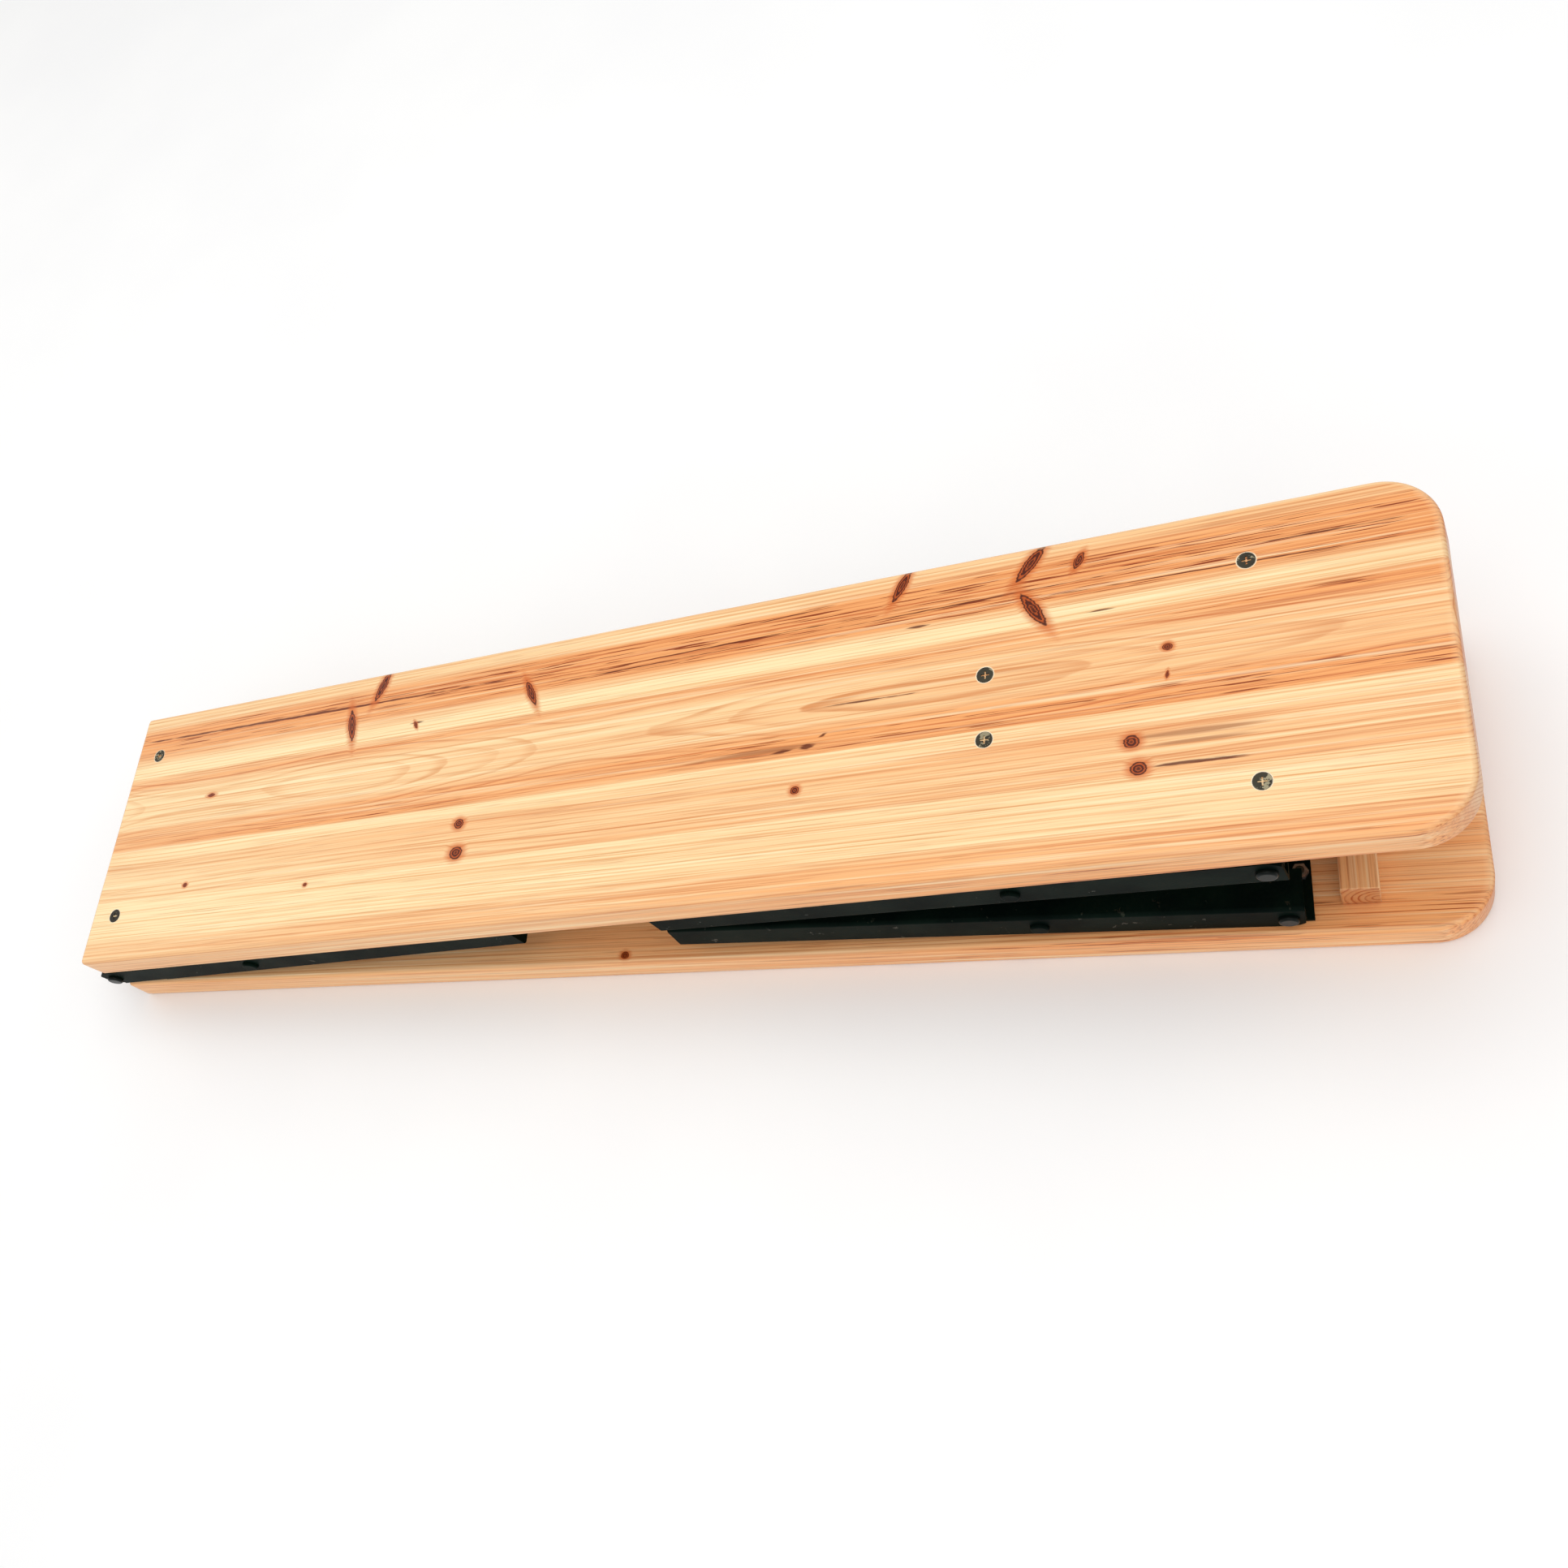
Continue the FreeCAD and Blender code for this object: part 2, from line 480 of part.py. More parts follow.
# ---- everything on one half ----
def half(rail_inset, taper, lift, joint_ear_outside, joint_hole):
    """All pieces of one half, in the half's own frame, by name."""
    plate_end = LEG_PIVOT_X + LEG_PLATE_PAST_PIVOT
    leg_plate_reach = HALF_WIDTH - rail_inset - STEEL - SIDE_GAP
    joint_ears = [ear(0, JOINT_PLATE_START, JOINT_PLATE_END - EAR_FOOT_INSET, joint_ear_outside, side,
                      joint_hole) for side in (-1, 1)]
    stay_end = STAY_PLATE_START + STAY_PLATE_LENGTH
    tip = STEEL + BOLT_PAST_PLATE
    pieces = {
        "board": [board()],
        "batten": [batten()],
        "batten_screws": [batten_screw(*place) for place in BATTEN_SCREWS],
        "leg_plate": [plate(plate_end - LEG_PLATE_WIDTH, plate_end, leg_plate_reach, LEG_BOLTS)],
        "leg_ears": leg_ears(rail_inset),
        "leg_pivot_rivets": leg_pivot_rivets(rail_inset),
        "stay_plate": [plate(STAY_PLATE_START, stay_end, STAY_PLATE_WIDTH / 2, STAY_BOLTS)],
        "stay_ear": [stay_ear()],
        "joint_plate": [plate(JOINT_PLATE_START, JOINT_PLATE_END, joint_ear_outside, JOINT_BOLTS)],
        "joint_ears": joint_ears,
    }
    for name, places in (("leg", LEG_BOLTS), ("stay", STAY_BOLTS), ("joint", JOINT_BOLTS)):
        pieces[name + "_plate_bolts"] = [countersunk_bolt(x, y, tip) for x, y in places]
        pieces[name + "_plate_nuts"] = [nut(x, y) for x, y in places]
    for name, shapes in leg(rail_inset, taper, RAIL_OVERHANG, False).items():
        pieces["leg_" + name] = [leg_to_board(shape, lift) for shape in shapes]
    pieces.update(stay(lift))
    return pieces


def joint_pins():
    """The two pins of the fold, tight in the upper half's ears. The lower ears and the centre leg turn."""
    seat = HALF_WIDTH - UPPER_RAIL_INSET + HEAD_GAP
    tail = UPPER_EAR_OUTSIDE - 2 * STEEL - SIDE_GAP - HEAD_GAP
    pins = []
    for side in (-1, 1):
        y_seat, y_tail = side * seat, side * tail
        shank = rod_y(0, PIVOT_HEIGHT, PIN_RADIUS, min(y_seat, y_tail), max(y_seat, y_tail))
        head = head_y(0, PIVOT_HEIGHT, PIN_HEAD_RADIUS, y_seat, y_seat + side * PIN_HEAD_HEIGHT)
        closed = head_y(0, PIVOT_HEIGHT, PIN_HEAD_RADIUS, y_tail, y_tail - side * PIN_HEAD_HEIGHT)
        pins.append(shank.fuse([head, closed]).removeSplitter())
    return pins


# ---- placing the halves ----
def place_lower(shape):
    copy = shape.copy()
    copy.translate(Vector(JOINT_X, 0, BOARD_THICKNESS))
    return copy


def place_upper(shape):
    """Turns a piece over about the fold axis, then opens it to the folded angle."""
    copy = shape.copy()
    copy.rotate(Vector(0, 0, PIVOT_HEIGHT), Vector(1, 0, 0), 180)
    return place_lower(turned(copy, 0, PIVOT_HEIGHT, FOLDED_ANGLE))


def build():
    """Every node of the bench, by name."""
    nodes = {}
    lower_ear_outside = UPPER_EAR_OUTSIDE - STEEL - SIDE_GAP
    lower = half(LOWER_RAIL_INSET, 0, LOWER_LEG_LIFT, lower_ear_outside, PIN_RADIUS + RUNNING_CLEARANCE)
    upper = half(UPPER_RAIL_INSET, FOOT_TAPER, 0, UPPER_EAR_OUTSIDE, PIN_RADIUS)
    for name, shapes in lower.items():
        nodes["lower_" + name] = [place_lower(shape) for shape in shapes]
    for name, shapes in upper.items():
        nodes["upper_" + name] = [place_upper(shape) for shape in shapes]
    nodes["joint_pins"] = [place_upper(shape) for shape in joint_pins()]
    centre = leg(UPPER_RAIL_INSET, FOOT_TAPER, CENTRE_RAIL_OVERHANG, True)
    for name, shapes in centre.items():
        for shape in shapes:
            shape.translate(Vector(0, 0, PIVOT_HEIGHT))
        nodes["centre_leg_" + name] = [place_upper(shape) for shape in shapes]
    return nodes


def main():
    os.makedirs("parts", exist_ok=True)
    for name, shapes in sorted(build().items()):
        whole = group(shapes)
        whole.exportStep(os.path.join("parts", name + ".step"))
        print(name, len(shapes), "solids" if all(s.isValid() for s in shapes) else "INVALID")


main()
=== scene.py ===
# %% [markdown]
# A bench that folds in half, lying folded: two seat boards of glued pine staves, and dark green steel
# legs between them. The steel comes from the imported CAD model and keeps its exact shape. The boards and
# the battens are made again here, because wood needs worn edges, glue seams, sunken bolt holes and
# grain that follows each board, and a CAD solid has none of those.

# %% Load the frame
import json
import math

import bpy
import numpy as np
from mathutils import Matrix, Vector


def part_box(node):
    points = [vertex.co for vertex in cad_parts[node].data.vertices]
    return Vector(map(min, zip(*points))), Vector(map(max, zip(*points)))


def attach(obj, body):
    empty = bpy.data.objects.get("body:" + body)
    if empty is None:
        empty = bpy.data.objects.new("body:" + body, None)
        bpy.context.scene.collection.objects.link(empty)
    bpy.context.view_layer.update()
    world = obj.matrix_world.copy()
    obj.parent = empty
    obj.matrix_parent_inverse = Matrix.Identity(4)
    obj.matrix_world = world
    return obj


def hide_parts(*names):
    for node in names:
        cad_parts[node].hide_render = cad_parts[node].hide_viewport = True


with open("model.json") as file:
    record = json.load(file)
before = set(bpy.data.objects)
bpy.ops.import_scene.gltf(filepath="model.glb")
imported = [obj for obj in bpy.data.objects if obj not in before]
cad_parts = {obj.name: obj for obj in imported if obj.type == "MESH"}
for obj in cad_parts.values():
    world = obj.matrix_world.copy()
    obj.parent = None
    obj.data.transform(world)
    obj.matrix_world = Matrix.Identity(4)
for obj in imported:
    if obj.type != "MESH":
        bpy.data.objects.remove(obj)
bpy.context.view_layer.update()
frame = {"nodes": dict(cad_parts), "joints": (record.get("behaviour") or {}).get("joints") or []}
MM = 0.001

# %% [markdown]
# Each half of the bench has its own frame. Along runs from the joint to the outer end, across runs over
# the seat, and height is measured from the board's inner face. The lower half lies on its seat face. The
# upper half is turned over above it and opens by a few degrees about the fold axis. Everything on a half
# is worked out flat in this frame and then placed, so one function can make both boards.

# %% Sizes and the two halves
fold = next(joint for joint in frame["joints"] if joint["name"] == "fold")
FOLD_AXIS = np.array(fold["pos_m"])
OPEN_ANGLE = math.radians(180 - fold["range_deg"][1])


def half_box(node):
    """The lowest and highest corners of a node of the lower half, counted along from the fold axis and
    rounded to a thousandth of a millimetre."""
    return [np.round(np.array(corner) - [FOLD_AXIS[0], 0, 0], 6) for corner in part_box(node)]


board_low, board_high = half_box("lower_board")
BOARD_START, BOARD_END = board_low[0], board_high[0]
BOARD_WIDTH, BOARD_THICKNESS = (board_high - board_low)[1:]
PIVOT_HEIGHT = FOLD_AXIS[2] - BOARD_THICKNESS
OUTER_CORNER = 40 * MM
JOINT_CORNER = 4 * MM
ARRIS = 3.5 * MM


def place_lower(points):
    """Moves points of the flat half to the fold axis: along from it, height up from the board's face."""
    along, across, height = points.T
    return np.stack([along + FOLD_AXIS[0], across, height + BOARD_THICKNESS], axis=1)


def place_upper(points):
    """Turns points over (height becomes depth below the fold axis), then lifts them by the open angle."""
    along, across, height = points.T
    above = PIVOT_HEIGHT - height
    cosine, sine = math.cos(OPEN_ANGLE), math.sin(OPEN_ANGLE)
    return np.stack([along * cosine - above * sine + FOLD_AXIS[0], across,
                     along * sine + above * cosine + FOLD_AXIS[2]], axis=1)


HALVES = {"lower": place_lower, "upper": place_upper}
print("fold axis", FOLD_AXIS, "open by", round(math.degrees(OPEN_ANGLE), 2), "degrees")
print("board from", BOARD_START, "to", BOARD_END, "width", BOARD_WIDTH, "thickness", BOARD_THICKNESS)

# %% [markdown]
# Every new piece is a grid of points worked out with numpy and handed to the mesh in one go. A point
# also carries where it sits in the wood, which the grain reads, how exposed it is, which the wear reads,
# and whether it lies on a cut end. All three are stored as attributes, so they stay on the piece when it
# folds.

# %% Making a mesh from arrays
SHARP_ANGLE = math.radians(40)      # an edge that turns more than this stays sharp


def grid_faces(rows, columns, start=0):
    """Quads of a grid stored row by row: each joins a point, its right neighbour, and the two beside them
    in the next row."""
    row, column = np.meshgrid(np.arange(rows - 1), np.arange(columns - 1), indexing="ij")
    first = (start + row * columns + column).ravel()
    return np.stack([first, first + 1, first + columns + 1, first + columns], axis=1)


def make_piece(name, points, faces, material, wood=None, worn=None, end=None):
    """One mesh object at the origin from an array of points and an array of quads."""
    mesh = bpy.data.meshes.new(name)
    mesh.from_pydata(points.tolist(), [], faces.tolist())
    for label, kind, field, values in (("wood", "FLOAT_VECTOR", "vector", wood),
                                       ("worn", "FLOAT", "value", worn), ("end", "FLOAT", "value", end)):
        if values is not None:
            layer = mesh.attributes.new(label, kind, "POINT")
            layer.data.foreach_set(field, np.ascontiguousarray(values, dtype=np.float32).ravel())
    mesh.validate()
    mesh.polygons.foreach_set("use_smooth", [True] * len(mesh.polygons))
    mesh.set_sharp_from_angle(angle=SHARP_ANGLE)
    mesh.materials.append(material)
    piece = bpy.data.objects.new(name, mesh)
    bpy.context.scene.collection.objects.link(piece)
    return piece


# %% [markdown]
# A shader is easier to read when each step is one short line, so these helpers add a node, set its
# inputs and return its output. A value that is itself an output gets linked.

# %% Node helpers
def put(tree, socket, value):
    """Links the value to the socket if it is an output, and otherwise sets the socket to it."""
    if isinstance(value, bpy.types.NodeSocket):
        tree.links.new(value, socket)
    else:
        socket.default_value = value


class Nodes:
    """Writes nodes into one tree: call add() with the node's type, its settings and its inputs."""

    def __init__(self, tree):
        self.tree = tree
        self.count = 0

    def add(self, kind, inputs=None, output=0, **settings):
        node = self.tree.nodes.new(kind)
        node.location = (180 * (self.count % 12), -220 * (self.count // 12))
        self.count += 1
        for key, value in settings.items():
            setattr(node, key, value)
        for key, value in (inputs or {}).items():
            put(self.tree, node.inputs[key], value)
        return node.outputs[output] if output is not None else node

    def math(self, operation, a, b=0.0, c=0.0):
        return self.add("ShaderNodeMath", {0: a, 1: b, 2: c}, operation=operation)

    def smooth(self, value, low, high, to_low=0.0, to_high=1.0):
        """Eases from to_low to to_high while value goes from low to high."""
        return self.add("ShaderNodeMapRange", {"Value": value, "From Min": low, "From Max": high,
                                               "To Min": to_low, "To Max": to_high},
                        interpolation_type="SMOOTHSTEP")

    def mix(self, factor, a, b, blend="MIX"):
        return self.add("ShaderNodeMix", {0: factor, 6: a, 7: b}, output=2, data_type="RGBA",
                        blend_type=blend)

    def noise(self, vector, scale=1.0, detail=2.0, rough=0.5, output="Fac"):
        return self.add("ShaderNodeTexNoise", {"Vector": vector, "Scale": scale, "Detail": detail,
                                               "Roughness": rough}, output=output)

    def stretch(self, vector, scale):
        return self.add("ShaderNodeMapping", {"Vector": vector, "Scale": scale})


def new_group(name, inputs, outputs):
    """An empty shader group with named sockets. Returns the group, its inputs and its output node."""
    group = bpy.data.node_groups.new(name, "ShaderNodeTree")
    for label, kind, default in inputs:
        socket = group.interface.new_socket(label, in_out="INPUT", socket_type="NodeSocket" + kind)
        socket.default_value = default
    for label, kind in outputs:
        group.interface.new_socket(label, in_out="OUTPUT", socket_type="NodeSocket" + kind)
    given = group.nodes.new("NodeGroupInput")
    result = group.nodes.new("NodeGroupOutput")
    return Nodes(group), given.outputs, result


def use_group(nodes, tree, inputs):
    """Places a group in a material, feeds it, and returns its outputs."""
    node = nodes.add("ShaderNodeGroup", output=None)
    node.node_tree = tree
    for key, value in inputs.items():
        put(nodes.tree, node.inputs[key], value)
    return node.outputs


def srgb(red, green, blue):
    """A colour given as on a screen, 0 to 255, turned into the linear light that shaders work in."""
    def linear(value):
        value /= 255
        return value / 12.92 if value <= 0.04045 else ((value + 0.055) / 1.055) ** 2.4
    return (linear(red), linear(green), linear(blue), 1.0)


def new_material(name):
    """A material with an empty Principled BSDF. Returns the material, its nodes and the shader."""
    material = bpy.data.materials.new(name)
    material.use_nodes = True
    return material, Nodes(material.node_tree), material.node_tree.nodes["Principled BSDF"]


def feed(nodes, shader, **inputs):
    """Sets or links the shader's sockets, by name with underscores for spaces."""
    for label, value in inputs.items():
        put(nodes.tree, shader.inputs[label.replace("_", " ")], value)


# %% [markdown]
# Growth rings are cylinders around the tree's pith. A stave is a flat cut out of them, so the ring a
# point lies in is its distance from the pith's line. The pith wanders along the stave, and where it
# dips away the rings close into the long arches that carpenters call cathedrals. Drawing this once in
# three dimensions gives the face, the edge and the end grain together, which flat stripes never do.

# %% Group: growth rings
WANDER_PACE = 2.1          # how many times the pith changes its way in a metre of the stave
WANDER_START = -0.82       # which stretch of the wander falls on the board
DIP_OVER_SWAY = 2.6        # the pith dips this many times more than it sways
RIPPLE = 2.2 * MM          # how far a ring strays from a true circle
RIPPLE_SCALE = (4, 60, 60)


def growth_rings_group():
    nodes, given, result = new_group(
        "growth_rings",
        [("Wood", "Vector", (0, 0, 0)), ("Pith Across", "Float", 0.0), ("Pith Depth", "Float", 0.03),
         ("Wander", "Float", 0.02), ("Seed", "Float", 0.0), ("Spacing", "Float", 0.003),
         ("Bend", "Float", 0.0)],
        [("Late", "Float"), ("Age", "Float")])
    parts = nodes.add("ShaderNodeSeparateXYZ", {"Vector": given["Wood"]}, output=None).outputs
    slow = nodes.add("ShaderNodeCombineXYZ", {
        "X": nodes.math("MULTIPLY_ADD", parts["X"], WANDER_PACE, WANDER_START), "Y": given["Seed"]})
    drift = nodes.add("ShaderNodeSeparateColor", {"Color": nodes.noise(slow, detail=1.5, output="Color")},
                      output=None).outputs
    sway = nodes.math("MULTIPLY", nodes.math("SUBTRACT", drift["Red"], 0.5), given["Wander"])
    dip = nodes.math("MULTIPLY", nodes.math("SUBTRACT", drift["Green"], 0.5),
                     nodes.math("MULTIPLY", given["Wander"], DIP_OVER_SWAY))
    across = nodes.math("ADD", nodes.math("SUBTRACT", parts["Y"], given["Pith Across"]), sway)
    depth = nodes.math("ADD", nodes.math("SUBTRACT", parts["Z"], given["Pith Depth"]), dip)
    radius = nodes.math("SQRT", nodes.math("ADD", nodes.math("MULTIPLY", across, across),
                                           nodes.math("MULTIPLY", depth, depth)))
    ripple = nodes.noise(nodes.stretch(given["Wood"], RIPPLE_SCALE), detail=3.0)
    radius = nodes.math("MULTIPLY_ADD", nodes.math("SUBTRACT", ripple, 0.5), RIPPLE, radius)
    radius = nodes.math("ADD", radius, given["Bend"])
    ring = nodes.math("DIVIDE", radius, given["Spacing"])
    # early wood fades slowly into late wood, which ends at once with the winter
    place = nodes.math("FRACT", ring)
    late = nodes.math("MULTIPLY", nodes.smooth(place, 0.52, 0.9), nodes.smooth(place, 0.93, 1.0, 1.0, 0.0))
    age = nodes.add("ShaderNodeTexWhiteNoise", {"W": nodes.math("FLOOR", ring)}, noise_dimensions="1D")
    for label, value in (("Late", late), ("Age", age)):
        nodes.tree.links.new(value, result.inputs[label])
    return nodes.tree


RINGS = growth_rings_group()


# %% [markdown]
# A knot is where a branch left the trunk. A round knot was cut across the branch, and a spike knot along
# it, so both are one ellipse with its own length, width and turn. Every knot only has to say how far a
# point is from it, with 1 at its rim. A spike's ends are drawn to points by mixing in the distance that
# a taxi would drive, which turns an ellipse towards a diamond. The nearest knot then bends the rings
# around itself, reddens the wood beside it and fills its own disc.

# %% Group: one knot
KNOT_DEPTH = 90 * MM       # half a knot's reach through the wood, so it goes right through a board
NO_KNOT = 100.0            # a distance beyond any knot
MEET = 0.4                 # how softly two knots that are close run together
SPIKE_POINT = 0.3          # how far a spike knot goes from an ellipse, 0, towards a diamond, 1
SPIKE_SHAPE = 2            # a knot this many times longer than wide is a spike


def knot_group():
    nodes, given, result = new_group(
        "knot", [("Wood", "Vector", (0, 0, 0)), ("Place", "Vector", (0, 0, 0)), ("Turn", "Vector", (0, 0, 0)),
                 ("Size", "Vector", (1, 1, 1)), ("Pointed", "Float", 0.0), ("Nearest", "Float", NO_KNOT)],
        [("Nearest", "Float")])
    inside = nodes.add("ShaderNodeMapping", {"Vector": given["Wood"], "Location": given["Place"],
                                             "Rotation": given["Turn"], "Scale": given["Size"]},
                       vector_type="TEXTURE")
    straight = nodes.add("ShaderNodeVectorMath", {0: inside}, output="Value", operation="LENGTH")
    sides = nodes.add("ShaderNodeVectorMath", {0: inside}, operation="ABSOLUTE")
    taxi = nodes.add("ShaderNodeVectorMath", {0: sides, 1: (1, 1, 0)}, output="Value",
                     operation="DOT_PRODUCT")
    away = nodes.math("MULTIPLY_ADD", nodes.math("SUBTRACT", taxi, straight), given["Pointed"], straight)
    joined = nodes.math("SMOOTH_MIN", given["Nearest"], away, MEET)
    nodes.tree.links.new(joined, result.inputs["Nearest"])
    return nodes.tree


KNOT = knot_group()


def nearest(nodes, wood, places):
    """The distance to the nearest of several knots or streaks, 1 at the rim. Places are in millimetres:
    along, across, half length, half width, and the turn in degrees. Long narrow ones end in points."""
    distance = NO_KNOT
    for along, across, half_length, half_width, turn in places:
        distance = use_group(nodes, KNOT, {
            "Wood": wood, "Place": (along * MM, across * MM, -BOARD_THICKNESS / 2),
            "Turn": (0, 0, math.radians(turn)), "Size": (half_length * MM, half_width * MM, KNOT_DEPTH),
            "Pointed": SPIKE_POINT if half_length > SPIKE_SHAPE * half_width else 0.0,
            "Nearest": distance})["Nearest"]
    return distance


# %% [markdown]
# The boards are lacquered pine. Each of the four staves came from its own tree, so each has its own pith,
# ring width and tone. The stave a point belongs to is found by counting the glue seams it has passed,
# which keeps the seams sharp. How red the heartwood is changes across the board, so a colour ramp over
# the board's width holds it. Noise drawn out along the grain then breaks it into stripes, and on top lie
# fine fibres, short resin dashes, streaks, knots, and edges that hands have rubbed pale.

# %% The pine material
EARLY_WOOD = (srgb(254, 229, 178), srgb(242, 168, 104))      # sapwood, heartwood
LATE_WOOD = (srgb(232, 168, 100), srgb(190, 88, 38))
PALE_FIBRE, RESIN_DASH = srgb(255, 236, 194), srgb(142, 60, 22)
BROWN_STREAK, RESIN_STREAK = srgb(146, 76, 36), srgb(92, 26, 4)
KNOT_HALO, KNOT_PITH, KNOT_BARK = srgb(206, 100, 38), srgb(60, 20, 8), srgb(74, 26, 10)
KNOT_RINGS = (srgb(182, 82, 30), srgb(80, 26, 8))
CUT_END, RUBBED, BARE = srgb(204, 172, 158), srgb(250, 214, 166), srgb(255, 240, 214)
SEAMS = [-67.5 * MM, -18 * MM, 57.5 * MM]
STAVE_SEEDS = [0.0, 7.3, 11.7, 24.6]      # each stave reads another part of the noise
KNOT_BEND = 2.2 * MM                      # how far a knot pushes the rings aside
REDDER_ALONG = (0.24, -0.13)              # the wood gets redder by this per metre, from this at the joint
REDDEST = 1.15
GRAIN_RELIEF = 0.3 * MM


def across_ramp(nodes, across, stops):
    """A value that changes over the board's width: stops are (millimetres across, value) pairs."""
    node = nodes.add("ShaderNodeValToRGB", {"Fac": nodes.math("MULTIPLY_ADD", across, 1 / BOARD_WIDTH, 0.5)},
                     output=None)
    ramp = node.color_ramp
    for place, value in stops[1:-1]:
        ramp.elements.new(place * MM / BOARD_WIDTH + 0.5)
    for element, (place, value) in zip(ramp.elements, stops):
        element.position = place * MM / BOARD_WIDTH + 0.5
        element.color = (value, value, value, 1)
    return node.outputs["Color"]


def redness(nodes, wood, across, wide, stripe, red_stops):
    """How red the wood is, from 0 for sapwood to 1 for heartwood: the ramp over the width, plus a slope
    towards the outer end, plus wide patches and stripes of noise."""
    along = nodes.add("ShaderNodeSeparateXYZ", {"Vector": wood}, output="X")
    red = nodes.math("ADD", across_ramp(nodes, across, red_stops),
                     nodes.math("MULTIPLY_ADD", along, *REDDER_ALONG))
    red = nodes.math("MULTIPLY_ADD", nodes.math("SUBTRACT", wide, 0.5), 0.7, red)
    red = nodes.math("MULTIPLY_ADD", nodes.math("SUBTRACT", stripe, 0.5), 0.9, red)
    return nodes.math("MAXIMUM", nodes.math("MINIMUM", red, REDDEST), 0.0)


def lay_knots(nodes, colour, away):
    """The knots laid over the wood, by the distance from their middle: red wood round each, rings round
    its own pith, a dark pith, and bark at the rim."""
    colour = nodes.mix(nodes.smooth(away, 1.0, 2.5, 0.8, 0.0), colour, KNOT_HALO)
    turns = nodes.math("SINE", nodes.math("MULTIPLY", away, 11.0))
    branch = nodes.mix(nodes.smooth(turns, -0.4, 0.6), *KNOT_RINGS)
    branch = nodes.mix(nodes.smooth(away, 0.34, 0.6, 0.9, 0.0), branch, KNOT_PITH)
    colour = nodes.mix(nodes.smooth(away, 1.04, 1.2, 1.0, 0.0), colour, branch)
    rim = nodes.math("MULTIPLY", nodes.smooth(away, 0.94, 1.1), nodes.smooth(away, 1.16, 1.3, 1.0, 0.0))
    return nodes.mix(nodes.math("MULTIPLY", rim, 0.95), colour, KNOT_BARK)


